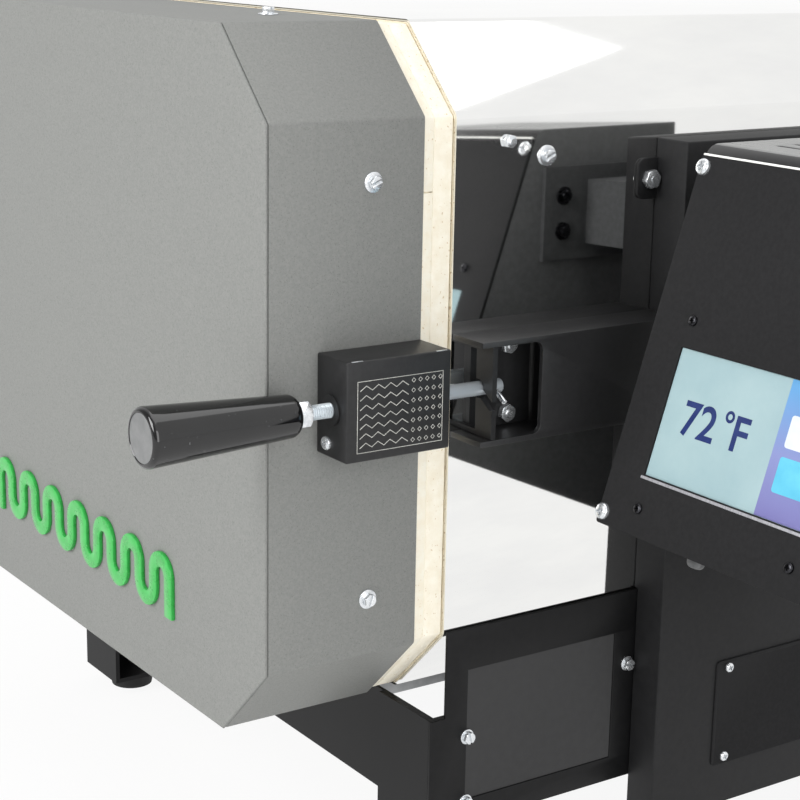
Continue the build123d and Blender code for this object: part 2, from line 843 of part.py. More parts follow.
with BuildPart() as body_wool:
    shell_prism((collar_back_y + joint, rear_brick_y), jacket_inset)
    block(
        (shell_x - brick_w / 2 - joint, shell_x + brick_w / 2 + joint),
        (collar_back_y + joint, rear_brick_y),
        (mid_z - brick_h / 2 - joint, mid_z + brick_h / 2 + joint),
        mode=Mode.SUBTRACT,
    )
    drill(jacket_holes, jacket_hole_r, jacket_hole_l)
finish(body_wool.part, "body_wool")

panel_screw_planes = [
    Plane(origin=(shell_x + x, back_y, mid_z + z), z_dir=(0, 1, 0))
    for x in (panel_screw_in - shell_w / 2, 0, shell_w / 2 - panel_screw_in)
    for z in (panel_screw_in - shell_h / 2, 0, shell_h / 2 - panel_screw_in)
    if (x == 0) != (z == 0)
]
cover_x = (shell_x - cover_w / 2, shell_x + cover_w / 2)
cover_z = (mid_z - cover_h / 2, mid_z + cover_h / 2)
cover_screw_planes = [
    Plane(origin=(shell_x + x, back_y + cover_t, mid_z + z), z_dir=(0, 1, 0))
    for x in (-(cover_w + cover_flange) / 2, (cover_w + cover_flange) / 2)
    for z in (-cover_h / 3, cover_h / 3)
]
gland_at = (shell_x + gland_x, cover_back_y, mid_z - gland_drop)

with BuildPart() as rear_wool:
    shell_prism((rear_brick_y + joint, wool_back_y - joint), jacket_inset)
    rear_holes((rear_brick_y, wool_back_y), tail_hole_r)
    drill(panel_screw_planes + cover_screw_planes, screw_hole_r, screw_hole_l)
finish(rear_wool.part, "rear_wool")

with BuildPart() as back_panel:
    shell_prism((wool_back_y, back_y), 0)
    rear_holes((wool_back_y, back_y), bushing_r + slip)
    drill(panel_screw_planes + cover_screw_planes, screw_hole_r, back_panel_t + cover_t)
finish(back_panel.part, "back_panel")

with BuildPart() as heating_elements:
    for side in (-1, 1):
        x = shell_x + side * (wall_x + element_sink)
        with BuildLine() as hairpin:
            FilletPolyline(
                (x, tail_end_y, mid_z + element_spread),
                (x, element_y, mid_z + element_spread),
                (x, element_y, mid_z - element_spread),
                (x, tail_end_y, mid_z - element_spread),
                radius=element_bend,
            )
        with BuildSketch(Plane(origin=hairpin.line @ 0, z_dir=hairpin.line % 0)):
            Circle(element_r)
        sweep(path=hairpin.line)
finish(heating_elements.part, "heating_elements")

with BuildPart() as element_bushings:
    for x, up in element_planes:
        start = (shell_x + x, wool_back_y, mid_z + up)
        bar(start, (0, 1, 0), back_panel_t, bushing_r)
        bar((start[0], back_y, start[2]), (0, 1, 0), bushing_flange_t, bushing_flange_r)
        bar(start, (0, 1, 0), back_panel_t + bushing_flange_t, element_r + slip, mode=Mode.SUBTRACT)
finish(element_bushings.part, "element_bushings")

with BuildPart() as element_connectors:
    for x, up in element_planes:
        start = (shell_x + x, tail_end_y - connector_l, mid_z + up)
        bar(start, (0, 1, 0), connector_l, connector_r)
        bar(start, (0, 1, 0), connector_l, element_r + running, mode=Mode.SUBTRACT)
        middle = (start[0], start[1] + connector_l / 2, start[2])
        bar(middle, (0, 0, 1), connector_r, small_r, mode=Mode.SUBTRACT)
finish(element_connectors.part, "element_connectors")

with BuildPart() as thermocouple:
    bar(
        (probe_x, chamber_back_y - probe_reach, probe_z),
        (0, 1, 0),
        back_y - chamber_back_y + probe_reach + probe_tail,
        probe_r,
    )
    fillet(thermocouple.faces().sort_by(Axis.Y)[0].edges(), probe_r * 0.6)
finish(thermocouple.part, "thermocouple")

with BuildPart() as thermocouple_head:
    block(
        (probe_x - probe_head_w / 2, probe_x + probe_head_w / 2),
        (back_y, back_y + probe_tail + probe_head_over),
        (probe_z - probe_head_h / 2, probe_z + probe_head_h / 2),
    )
    fillet(thermocouple_head.edges().filter_by(Axis.Y), probe_head_round)
    bar((probe_x, back_y, probe_z), (0, 1, 0), probe_tail, probe_r + running, mode=Mode.SUBTRACT)
finish(thermocouple_head.part, "thermocouple_head")

with BuildPart() as rear_cover:
    block(cover_x, (back_y, cover_back_y), cover_z)
    fillet(rear_cover.faces().sort_by(Axis.Y)[-1].edges(), cover_round)
    block(
        (cover_x[0] - cover_flange, cover_x[1] + cover_flange),
        (back_y, back_y + cover_t),
        cover_z,
    )
    block(
        (cover_x[0] + cover_t, cover_x[1] - cover_t),
        (back_y, cover_back_y - cover_t),
        (cover_z[0] + cover_t, cover_z[1] - cover_t),
        mode=Mode.SUBTRACT,
    )
    with BuildSketch(Plane.XY.offset(cover_z[0])):
        with Locations((shell_x, (back_y + cover_back_y) / 2)):
            with GridLocations(vent_pitch, 0, vent_count, 1):
                SlotOverall(vent_l, vent_w, rotation=90)
    extrude(amount=cover_h, mode=Mode.SUBTRACT)
    bar(gland_at, (0, -1, 0), cover_t, gland_r - gland_neck + running, mode=Mode.SUBTRACT)
    drill(cover_screw_planes, screw_hole_r, cover_t)
finish(rear_cover.part, "rear_cover")

with BuildPart() as body_pan_screws:
    place(case_screw, panel_screw_planes + cover_screw_planes + body_leaf_screws)
finish(body_pan_screws.part, "body_pan_screws")

with BuildPart() as cord_gland:
    gland_out = (gland_at[0], gland_at[1] + gland_reach, gland_at[2])
    bar(gland_out, (0, -1, 0), gland_reach, gland_r)
    fillet(cord_gland.faces().sort_by(Axis.Y)[-1].edges(), gland_round)
    bar(gland_out, (0, -1, 0), gland_reach + cover_t + gland_inside, gland_r - gland_neck)
    bar(gland_out, (0, -1, 0), gland_reach + cover_t + gland_inside, gland_bore_r, mode=Mode.SUBTRACT)
finish(cord_gland.part, "cord_gland")

# Side enclosure and what it holds

stand_out = sheet_t + slip
sheet_top_z = mid_z - (shell_h / 2 - shell_corner) + stand_overlap
enclosure_x = (side_x, side_x + side_w)
enclosure_y = (side_y, side_y + side_l)
enclosure_z = (mid_z - side_down, mid_z + side_up)
arm_y = (side_y + arm_back, side_y + arm_back + arm_w)
arm_z = (mid_z + arm_up, mid_z + arm_up + arm_h)
plate_y = side_y + plate_back
plate_z = mid_z - plate_drop
plate_screw_planes = [
    side_plane(enclosure_x[1] + label_t, y, z)
    for y in (plate_y + 2 * plate_edge, plate_y + plate_w - 2 * plate_edge)
    for z in (plate_z - plate_edge, plate_z - plate_h + plate_edge)
]
with BuildPart() as side_enclosure:
    block(enclosure_x, enclosure_y, enclosure_z)
    fillet(side_enclosure.faces().sort_by(Axis.X)[-1].edges(), case_round)
    block(
        (enclosure_x[0], enclosure_x[1] - side_t),
        (enclosure_y[0] + side_t, enclosure_y[1] - side_t),
        (enclosure_z[0] + side_t, enclosure_z[1] - side_t),
        mode=Mode.SUBTRACT,
    )
    block(
        (side_x, side_x + stand_out + slip),
        enclosure_y,
        (enclosure_z[0], sheet_top_z + slip),
        mode=Mode.SUBTRACT,
    )
    block(
        (enclosure_x[1] - side_t, enclosure_x[1]),
        (arm_y[0] + arm_t, arm_y[1] - arm_t),
        (arm_z[0] + arm_t, arm_z[1] - arm_t),
        mode=Mode.SUBTRACT,
    )
    drill(plate_screw_planes, small_r + hole_play, label_t + side_t)
    ear_top = enclosure_z[1] - ear_drop
    with BuildSketch(side_plane(side_x, side_y, ear_top - ear_h / 2)):
        RectangleRounded(2 * ear_l, ear_h, ear_corner)
    extrude(amount=ear_t)
    drill(ear_nut_planes, catch_stud_r + hole_play, ear_t)
finish(side_enclosure.part, "side_enclosure")

with BuildPart() as side_nuts:
    place(side_nut, side_nut_planes)
    place(ear_nut, ear_nut_planes)
finish(side_nuts.part, "side_nuts")

with BuildPart() as data_plate:
    label_x = (enclosure_x[1], enclosure_x[1] + label_t)
    block(label_x, (plate_y, plate_y + plate_w), (plate_z - plate_h, plate_z))
    fillet(data_plate.edges().filter_by(Axis.X), plate_round)
    drill(plate_screw_planes, small_r + hole_play, label_t)
finish(data_plate.part, "data_plate")

relay_x = enclosure_x[1] - side_t
relay_z = (mid_z - relay_drop, mid_z - relay_drop + relay_h)
terminal_x = (relay_x - relay_t, relay_x - relay_t / 2)
with BuildPart() as power_relays:
    for i in range(2):
        low = side_y + relay_back + i * relay_pitch
        block((relay_x - relay_t, relay_x), (low, low + relay_l), relay_z)
        for y in (low + terminal_in, low + terminal_in + terminal_spread):
            for z in (relay_z[0] + terminal / 2, relay_z[1] - terminal * 1.5):
                block(terminal_x, (y, y + terminal), (z, z + terminal), mode=Mode.SUBTRACT)
finish(power_relays.part, "power_relays")

# Control box

face_x = side_x + box_gap
face_tilt = radians(box_tilt)
face_plane = Plane(
    origin=(face_x, front_y + box_face_y, mid_z),
    x_dir=(1, 0, 0),
    z_dir=(0, -cos(face_tilt), sin(face_tilt)),
)
box_x = (face_x, face_x + box_w)


def face_sheet(u, v, n, mode=Mode.ADD):
    """Slab parallel to the tilted face, between limits across, up the slope and out of it."""
    with BuildSketch(face_plane.offset(n[0])) as outline:
        with Locations(((u[0] + u[1]) / 2, (v[0] + v[1]) / 2)):
            Rectangle(u[1] - u[0], v[1] - v[0])
    extrude(outline.sketch, amount=n[1] - n[0], mode=mode)


def on_face(u, v, n=0.0):
    """Plane on the tilted face at one place."""
    origin = face_plane.from_local_coords((u, v, n))
    return Plane(origin=origin, x_dir=face_plane.x_dir, z_dir=face_plane.z_dir)


corner_screw_planes = [
    on_face(u, v)
    for u in (corner_screw_in, box_w - corner_screw_in)
    for v in (corner_screw_low, corner_screw_high)
]
display_screw_planes = [
    on_face(u, v)
    for u in (display_screw_left, display_screw_right)
    for v in (display_screw_low, display_screw_high)
]


def face_point(v, n):
    """Depth and height of a point of the tilted face."""
    point = face_plane.from_local_coords((0, v, n))
    return point.Y, point.Z


low_front = face_point(-face_down, -face_t)
top_z = mid_z + box_top
top_front = face_point((box_top + face_t * sin(face_tilt)) / cos(face_tilt), -face_t)
box_back_face = front_y + box_back
low_back = (box_back_face, low_front[1] - tan(radians(box_bottom_slope)) * (box_back_face - low_front[0]))


def box_profile(inset, x, width, mode=Mode.ADD):
    """Side outline of the control box, drawn an even distance inside, across a width."""
    with BuildSketch(side_plane(x)) as profile:
        with BuildLine():
            Polyline(low_front, top_front, (box_back_face, top_z), low_back, close=True)
        make_face()
        fillet(profile.vertices().group_by(Axis.Y)[-1].sort_by(Axis.X)[0], box_corner)
        if inset:
            offset(amount=-inset, kind=Kind.INTERSECTION)
    extrude(profile.sketch, amount=width, mode=mode)


switch_y = front_y + switch_back
switch_z = mid_z + switch_up
arm_plate_y = (arm_y[0] - arm_plate_front, arm_y[1] + arm_plate_back)
arm_plate_z = (arm_z[0] - arm_plate_lip, arm_z[1] + arm_plate_lip)
arm_bolt_planes = [
    Plane(origin=(face_x - arm_plate_t, arm_plate_y[0] + arm_bolt_in, z), z_dir=(-1, 0, 0))
    for z in (arm_z[0] + arm_plate_lip, arm_z[1] - arm_plate_lip)
]

with BuildPart() as control_box:
    box_profile(0, box_x[0], box_w)
    box_profile(box_t, box_x[0] + box_t, box_w - 2 * box_t, mode=Mode.SUBTRACT)
    face_sheet(
        (face_lip, box_w - face_lip),
        (face_lip - face_down, face_up - face_lip),
        (-face_t - box_t, -face_t),
        mode=Mode.SUBTRACT,
    )
    block(
        (box_x[0], box_x[0] + box_t),
        (arm_y[0] + arm_t, arm_y[1] - arm_t),
        (arm_z[0] + arm_t, arm_z[1] - arm_t),
        mode=Mode.SUBTRACT,
    )
    switch_half = rocker_w / 2 + rocker_play + switch_wall
    block(
        (box_x[1] - box_t, box_x[1]),
        (switch_y - switch_half, switch_y + switch_half),
        (switch_z - bezel_h / 2 + bezel_lap, switch_z + bezel_h / 2 - bezel_lap),
        mode=Mode.SUBTRACT,
    )
    drill(corner_screw_planes, small_r + hole_play, face_t + box_t + face_hole_past)
    drill(arm_bolt_planes, screw_hole_r, arm_plate_t + box_t)
finish(control_box.part, "control_box")

with BuildPart() as faceplate:
    face_sheet((0, box_w), (-face_down, face_up), (-face_t, 0))
    fillet(faceplate.edges().filter_by(Axis((0, 0, 0), face_plane.z_dir)), face_round)
    face_sheet(
        (screen_left - slip, screen_right + slip),
        (screen_low - slip, screen_high + slip),
        (-face_t, 0),
        mode=Mode.SUBTRACT,
    )
    drill(corner_screw_planes + display_screw_planes, small_r + hole_play, face_t)
finish(faceplate.part, "faceplate")

with BuildPart() as touch_screen:
    face_sheet((screen_left, screen_right), (screen_low, screen_high), (-face_t, glass_t - face_t))
    chamfer(touch_screen.faces().sort_by(Axis((0, 0, 0), face_plane.z_dir))[-1].edges(), glass_edge)
finish(touch_screen.part, "touch_screen")

with BuildPart() as display_module:
    face_sheet((module_left, module_right), (module_low, module_high), (-face_t - module_t, -face_t))
    drill(display_screw_planes, small_r + hole_play, face_t + module_t)
finish(display_module.part, "display_module")

with BuildPart() as small_screws:
    place(face_screw, corner_screw_planes)
    place(plate_screw, plate_screw_planes)
    place(display_screw, display_screw_planes)
finish(small_screws.part, "small_screws")

board_x = (box_x[0] + board_in, box_x[1] - board_in)
board_y = box_back_face - box_t - board_back
board_z = (mid_z - board_down, mid_z + board_up)
chip_y = (board_y - board_sheet_t - chip_t, board_y - board_sheet_t)
with BuildPart() as circuit_board:
    block(board_x, (board_y - board_sheet_t, board_y), board_z)
    for i in range(chip_count):
        low = board_x[0] + chip_in + i * chip_pitch
        block((low, low + chip_w), chip_y, (board_z[0] + chip_up, board_z[0] + chip_up + chip_h))
    for x in (board_x[0] + post_in, board_x[1] - post_in):
        for z in (board_z[0] + post_in, board_z[1] - post_in):
            bar((x, board_y, z), (0, 1, 0), board_back, post_r)
finish(circuit_board.part, "circuit_board")

with BuildPart() as power_supply:
    supply_low = low_back[1] + tan(radians(box_bottom_slope)) * supply_l + 2 * box_t
    supply_y = (box_back_face - box_t - supply_l, box_back_face - box_t)
    block(board_x, supply_y, (supply_low, supply_low + supply_h))
    fillet(power_supply.edges().filter_by(Axis.Z), supply_round)
finish(power_supply.part, "power_supply")

with BuildPart() as control_arm:
    block((enclosure_x[1], box_x[0] - arm_plate_t), arm_y, arm_z)
    block((box_x[0] - arm_plate_t, box_x[0]), arm_plate_y, arm_plate_z)
    block(
        (enclosure_x[1], box_x[0]),
        (arm_y[0] + arm_t, arm_y[1] - arm_t),
        (arm_z[0] + arm_t, arm_z[1] - arm_t),
        mode=Mode.SUBTRACT,
    )
    drill(arm_bolt_planes, screw_hole_r, arm_plate_t)
finish(control_arm.part, "control_arm")

# Power switch

bezel_x = box_x[1] + bezel_t
pivot_x = bezel_x - rocker_sink
cavity_y = (switch_y - rocker_w / 2 - rocker_play, switch_y + rocker_w / 2 + rocker_play)
cavity_half = bezel_h / 2 - bezel_rim
with BuildPart() as power_switch_housing:
    block((box_x[1], bezel_x), (switch_y - bezel_w / 2, switch_y + bezel_w / 2),
          (switch_z - bezel_h / 2, switch_z + bezel_h / 2))
    fillet(power_switch_housing.faces().sort_by(Axis.X)[-1].edges(), bezel_round)
    block(
        (pivot_x - switch_depth - switch_wall, box_x[1]),
        (cavity_y[0] - switch_wall + running, cavity_y[1] + switch_wall - running),
        (switch_z - cavity_half - switch_wall + running, switch_z + cavity_half + switch_wall - running),
    )
    block(
        (pivot_x - switch_depth, bezel_x),
        cavity_y,
        (switch_z - cavity_half, switch_z + cavity_half),
        mode=Mode.SUBTRACT,
    )
    bar(
        (pivot_x, cavity_y[0] - trunnion_l - slip, switch_z),
        (0, 1, 0),
        cavity_y[1] - cavity_y[0] + 2 * (trunnion_l + slip),
        trunnion_r + running,
        mode=Mode.SUBTRACT,
    )
finish(power_switch_housing.part, "power_switch_housing")

rocker_rise = rocker_mid + rocker_half * tan(radians(rocker_slope))
rocker_plane = Plane(
    origin=(pivot_x, switch_y - rocker_w / 2, switch_z),
    x_dir=(cos(radians(rocker_slope)), 0, sin(radians(rocker_slope))),
    z_dir=(0, -1, 0),
)
with BuildPart() as power_rocker:
    with BuildSketch(rocker_plane):
        with BuildLine():
            Polyline(
                (-rocker_base, -rocker_half),
                (rocker_rise, -rocker_half),
                (rocker_mid, 0),
                (rocker_rise, rocker_half),
                (-rocker_base, rocker_half),
                close=True,
            )
        make_face()
    extrude(amount=-rocker_w)
    bar(
        (pivot_x, cavity_y[0] - trunnion_l, switch_z),
        (0, 1, 0),
        cavity_y[1] - cavity_y[0] + 2 * trunnion_l,
        trunnion_r,
    )
finish(power_rocker.part, "power_rocker")

# Stand

stand_y = (body_y + stand_front, back_y)
sheet_low_z = mid_z - sheet_low
leg_top_z = bottom_z - leg_gap
notch_y = body_y + notch_gap
mid_bolt_y = side_y - mid_bolt_in
leg_bolt_in = leg_w / 2
leg_bolt_z = (leg_top_z - leg_bolt_down, sheet_low_z + leg_bolt_down)


def stand_bolt_planes(side):
    """Bolt places on one side sheet."""
    x = side_x + stand_out if side > 0 else left_x - stand_out
    leg_ys = (stand_y[0] + leg_bolt_in, stand_y[1] - leg_bolt_in)
    places = [(y, z) for y in leg_ys for z in leg_bolt_z]
    places.append((mid_bolt_y, mid_z - mid_bolt_drop))
    return [Plane(origin=(x, y, z), z_dir=(side, 0, 0)) for y, z in places]


for name, side in (("base_side_left", -1), ("base_side_right", 1)):
    inner = side_x + slip if side > 0 else left_x - slip
    outer = inner + side * sheet_t
    sheet_x = (min(inner, outer), max(inner, outer))
    sunk_x = (sheet_x[1] - pan_sink, sheet_x[1]) if side > 0 else (sheet_x[0], sheet_x[0] + pan_sink)
    with BuildPart() as sheet:
        block(sheet_x, stand_y, (sheet_low_z, sheet_top_z))
        block(sheet_x, (stand_y[0], notch_y), (leg_top_z, sheet_top_z), mode=Mode.SUBTRACT)
        pan_z = (sheet_low_z + sheet_sill, sheet_top_z - sheet_band)
        for low, high in ((notch_y, side_y), (side_y, stand_y[1])):
            block(sunk_x, (low + pan_edge, high - pan_edge), pan_z, mode=Mode.SUBTRACT)
        drill(stand_bolt_planes(side), screw_hole_r, sheet_t)
    finish(sheet.part, name)

leg_ends = [
    (x, direction_x, y, direction_y)
    for x, direction_x in ((side_x + slip, -1), (left_x - slip, 1))
    for y, direction_y in ((stand_y[0], 1), (stand_y[1], -1))
]
with BuildPart() as stand_legs:
    for x, dx, y, dy in leg_ends:
        wide_x = (min(x, x + dx * leg_w), max(x, x + dx * leg_w))
        thin_x = (min(x, x + dx * leg_t), max(x, x + dx * leg_t))
        wide_y = (min(y, y + dy * leg_w), max(y, y + dy * leg_w))
        thin_y = (min(y, y + dy * leg_t), max(y, y + dy * leg_t))
        block(wide_x, thin_y, (foot_h, leg_top_z))
        block(thin_x, wide_y, (foot_h, leg_top_z))
        block(wide_x, wide_y, (foot_h, foot_h + foot_plate_t))
        with Locations((x + dx * leg_w / 2, y + dy * leg_w / 2, foot_h)):
            Cylinder(bolt_r + hole_play, foot_plate_t, align=seat, mode=Mode.SUBTRACT)
    drill(stand_bolt_planes(1) + stand_bolt_planes(-1), screw_hole_r, stand_out + leg_t)
finish(stand_legs.part, "stand_legs")

with BuildPart() as stand_feet:
    for x, dx, y, dy in leg_ends:
        middle = (x + dx * leg_w / 2, y + dy * leg_w / 2)
        with Locations((*middle, 0)):
            Cone(foot_r - foot_taper, foot_r, foot_h, align=seat)
            Cylinder(bolt_r, foot_h + foot_plate_t + foot_stud_up, align=seat)
finish(stand_feet.part, "stand_feet")

rail_x = (left_x + leg_t, side_x - leg_t)
rail_z = (sheet_low_z + rail_up, leg_top_z)
with BuildPart() as base_end_rails:
    for y, dy in ((stand_y[0] + leg_t, 1), (stand_y[1] - leg_t, -1)):
        block(rail_x, (min(y, y + dy * rail_t), max(y, y + dy * rail_t)), rail_z)
        lip_y = (min(y, y + dy * rail_lip), max(y, y + dy * rail_lip))
        block(rail_x, lip_y, (rail_z[0], rail_z[0] + rail_t))
finish(base_end_rails.part, "base_end_rails")

inner_y = (stand_y[0] + leg_t + rail_t, stand_y[1] - leg_t - rail_t)
with BuildPart() as cradle_rails:
    for side in (-1, 1):
        x = shell_x + side * cradle_spread
        block((x - cradle_w / 2, x + cradle_w / 2), inner_y, (bottom_z - cradle_w, bottom_z))
        block(
            (x - cradle_w / 2 + cradle_wall, x + cradle_w / 2 - cradle_wall),
            inner_y,
            (bottom_z - cradle_w + cradle_wall, bottom_z - cradle_wall),
            mode=Mode.SUBTRACT,
        )
finish(cradle_rails.part, "cradle_rails")

with BuildPart() as hex_screws:
    place(stand_bolt, stand_bolt_planes(1) + stand_bolt_planes(-1))
    place(wide_screw, side_screw_planes + arm_bolt_planes)
finish(hex_screws.part, "hex_screws")
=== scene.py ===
from math import cos, pi, radians, sin

import bmesh
import bpy
from mathutils import Euler, Matrix, Vector


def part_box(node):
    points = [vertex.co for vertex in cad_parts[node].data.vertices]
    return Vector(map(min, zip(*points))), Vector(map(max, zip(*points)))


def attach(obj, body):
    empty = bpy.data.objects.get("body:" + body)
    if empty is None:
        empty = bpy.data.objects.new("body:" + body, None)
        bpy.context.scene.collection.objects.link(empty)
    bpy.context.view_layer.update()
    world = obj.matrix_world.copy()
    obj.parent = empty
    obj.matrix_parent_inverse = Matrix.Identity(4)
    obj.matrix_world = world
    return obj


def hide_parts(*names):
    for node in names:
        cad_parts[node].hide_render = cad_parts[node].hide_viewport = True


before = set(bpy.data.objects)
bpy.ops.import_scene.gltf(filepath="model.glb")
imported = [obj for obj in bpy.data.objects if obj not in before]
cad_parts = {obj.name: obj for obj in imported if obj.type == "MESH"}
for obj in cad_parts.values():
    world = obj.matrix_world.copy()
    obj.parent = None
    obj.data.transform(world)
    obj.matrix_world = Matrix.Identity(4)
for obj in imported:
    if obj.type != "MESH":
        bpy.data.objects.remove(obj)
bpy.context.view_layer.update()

print("frame loaded,", len(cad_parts), "nodes")

mm = 0.001

# how the script selects, shapes and finishes things


def clearSelection():
    if bpy.context.object and bpy.context.object.mode != "OBJECT":
        bpy.ops.object.mode_set(mode="OBJECT")
    bpy.ops.object.select_all(action="DESELECT")


def activate(piece):
    clearSelection()
    piece.select_set(True)
    bpy.context.view_layer.objects.active = piece


def settle(piece):
    # its place and size go into the mesh
    activate(piece)
    bpy.ops.object.transform_apply(location=True, rotation=True, scale=True)
    return piece


def addBlock(name, low, high):
    clearSelection()
    middle = [(a + b) / 2 for a, b in zip(low, high)]
    bpy.ops.mesh.primitive_cube_add(size=1, location=middle)
    piece = bpy.context.object
    piece.name = name
    piece.scale = [b - a for a, b in zip(low, high)]
    return settle(piece)


def addRound(name, length, radius, sides=48, start=(0, 0, 0), direction=(0, 0, 1)):
    clearSelection()
    direction = Vector(direction).normalized()
    middle = Vector(start) + direction * length / 2
    turn = direction.to_track_quat("Z", "Y").to_euler()
    bpy.ops.mesh.primitive_cylinder_add(
        vertices=sides, radius=radius, depth=length, location=middle, rotation=turn
    )
    piece = bpy.context.object
    piece.name = name
    return settle(piece)


def sized(**sizes):
    # the sizes of a piece, given in mm
    return {name: size * mm for name, size in sizes.items()}


def openMesh(piece, kind):
    activate(piece)
    bpy.ops.object.mode_set(mode="EDIT")
    bpy.ops.mesh.select_mode(type=kind)
    bpy.ops.mesh.select_all(action="DESELECT")
    return bmesh.from_edit_mesh(piece.data)


def pickFaces(piece, test):
    shape = openMesh(piece, "FACE")
    for face in shape.faces:
        if test(face.calc_center_median(), face.normal):
            face.select_set(True)
    bmesh.update_edit_mesh(piece.data)


def pickEdges(piece, test):
    shape = openMesh(piece, "EDGE")
    for edge in shape.edges:
        a, b = edge.verts[0].co, edge.verts[1].co
        if test((a + b) / 2, (b - a).normalized()):
            edge.select_set(True)
    bmesh.update_edit_mesh(piece.data)


def closeMesh():
    bpy.ops.object.mode_set(mode="OBJECT")


def everyFace(middle, normal):
    return True


def facing(x, y, z):
    # picks the faces that look this way
    return lambda middle, normal: normal.dot(Vector((x, y, z))) > 0.9


def running(x, y, z):
    # picks the edges that run this way, or the faces square to it
    return lambda middle, along: abs(along.dot(Vector((x, y, z)))) > 0.9


def ringAt(y):
    # picks the edges round a turned piece at this depth
    return lambda middle, along: abs(middle.y - y) < 0.1 * mm and abs(along.y) < 0.1


def pull(x, y, z):
    # draws what is picked out by this much
    bpy.ops.mesh.extrude_region_move(TRANSFORM_OT_translate={"value": (x, y, z)})


def inset(thickness, depth=0.0, each=False):
    bpy.ops.mesh.inset(thickness=thickness, depth=depth, use_individual=each)


def roundEdges(piece, test, radius, segments=4):
    pickEdges(piece, test)
    bpy.ops.mesh.bevel(offset=radius, segments=segments, affect="EDGES")
    closeMesh()


def smooth(piece, angle):
    activate(piece)
    bpy.ops.object.shade_smooth_by_angle(angle=radians(angle))


def soften(piece, width, segments=2, angle=35):
    activate(piece)
    edge = piece.modifiers.new("softEdge", "BEVEL")
    edge.width = width
    edge.segments = segments
    edge.limit_method = "ANGLE"
    edge.angle_limit = radians(angle)
    bpy.ops.object.modifier_apply(modifier=edge.name)
    smooth(piece, 40)


def cutWith(piece, cutter, operation):
    activate(piece)
    cut = piece.modifiers.new("cut", "BOOLEAN")
    cut.operation = operation
    cut.solver = "EXACT"
    cut.object = cutter
    bpy.ops.object.modifier_apply(modifier=cut.name)
    bpy.data.objects.remove(cutter)


def carve(piece, *cutters):
    # takes the cutters out of the piece, and removes them
    for cutter in cutters:
        cutWith(piece, cutter, "DIFFERENCE")


def merge(name, pieces):
    clearSelection()
    for piece in pieces:
        piece.select_set(True)
    bpy.context.view_layer.objects.active = pieces[0]
    if len(pieces) > 1:
        bpy.ops.object.join()
    joined = bpy.context.object
    joined.name = name
    return joined


def copyAt(piece, matrix):
    activate(piece)
    bpy.ops.object.duplicate(linked=False)
    copy = bpy.context.object
    copy.data.transform(matrix)
    return copy


def seatAt(point, direction, turn=0.0):
    # from a fastener drawn at the origin with its head up, to its place
    face = Vector(direction).to_track_quat("Z", "Y").to_matrix().to_4x4()
    return Matrix.Translation(point) @ face @ Matrix.Rotation(turn, 4, "Z")


def copyTo(piece, name, seats):
    return merge(name, [copyAt(piece, seat) for seat in seats])


def drawLines(name, lines, radius, closed=False):
    # engraved or printed line work: curves with a little thickness, made a mesh
    curve = bpy.data.curves.new(name, "CURVE")
    curve.dimensions = "3D"
    curve.bevel_depth = radius
    curve.bevel_resolution = 2
    curve.use_fill_caps = True
    for points in lines:
        line = curve.splines.new("POLY")
        line.points.add(len(points) - 1)
        for place, point in zip(line.points, points):
            place.co = (*point, 1)
        line.use_cyclic_u = closed
    piece = bpy.data.objects.new(name, curve)
    bpy.context.scene.collection.objects.link(piece)
    activate(piece)
    bpy.ops.object.convert(target="MESH")
    return bpy.context.object


def dress(piece, body, finishName, slot, *nodes):
    piece.data.materials.clear()
    piece.data.materials.append(finishes[finishName])
    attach(piece, body)
    if nodes:
        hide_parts(*nodes)


def secondFinish(piece, finishName, test):
    piece.data.materials.append(finishes[finishName])
    index = len(piece.data.materials) - 1
    for face in piece.data.polygons:
        if test(face.center, face.normal):
            face.material_index = index


# finishes


def tone(r, g, b):
    # a colour as it is read on screen, 0 to 255
    parts = [c / 255 for c in (r, g, b)]
    return (*[c / 12.92 if c <= 0.04045 else ((c + 0.055) / 1.055) ** 2.4 for c in parts], 1)


def setSockets(node, settings):
    for socket, value in settings.items():
        node.inputs[socket].default_value = value


def addNode(tree, kind, settings={}):
    # the kind is what follows ShaderNode in its name
    node = tree.nodes.new("ShaderNode" + kind)
    setSockets(node, settings)
    return node


def addRamp(tree, *stops):
    # a colour ramp from its stops, each a place and a colour
    ramp = addNode(tree, "ValToRGB")
    marks = ramp.color_ramp.elements
    for mark, (place, colour) in ((marks[0], stops[0]), (marks[1], stops[-1])):
        mark.position = place
        mark.color = colour
    for place, colour in stops[1:-1]:
        marks.new(place).color = colour
    return ramp


# what a look leaves unsaid; the depth of its grain is in mm
usualLook = dict(metal=0.0, coat=0.0, gleam=0.5, stretch=(1, 1, 1), grain=900, bump=0.3, depth=0.03)
mottling = dict(dark=0.35, light=0.65, speckEdge=0.06)


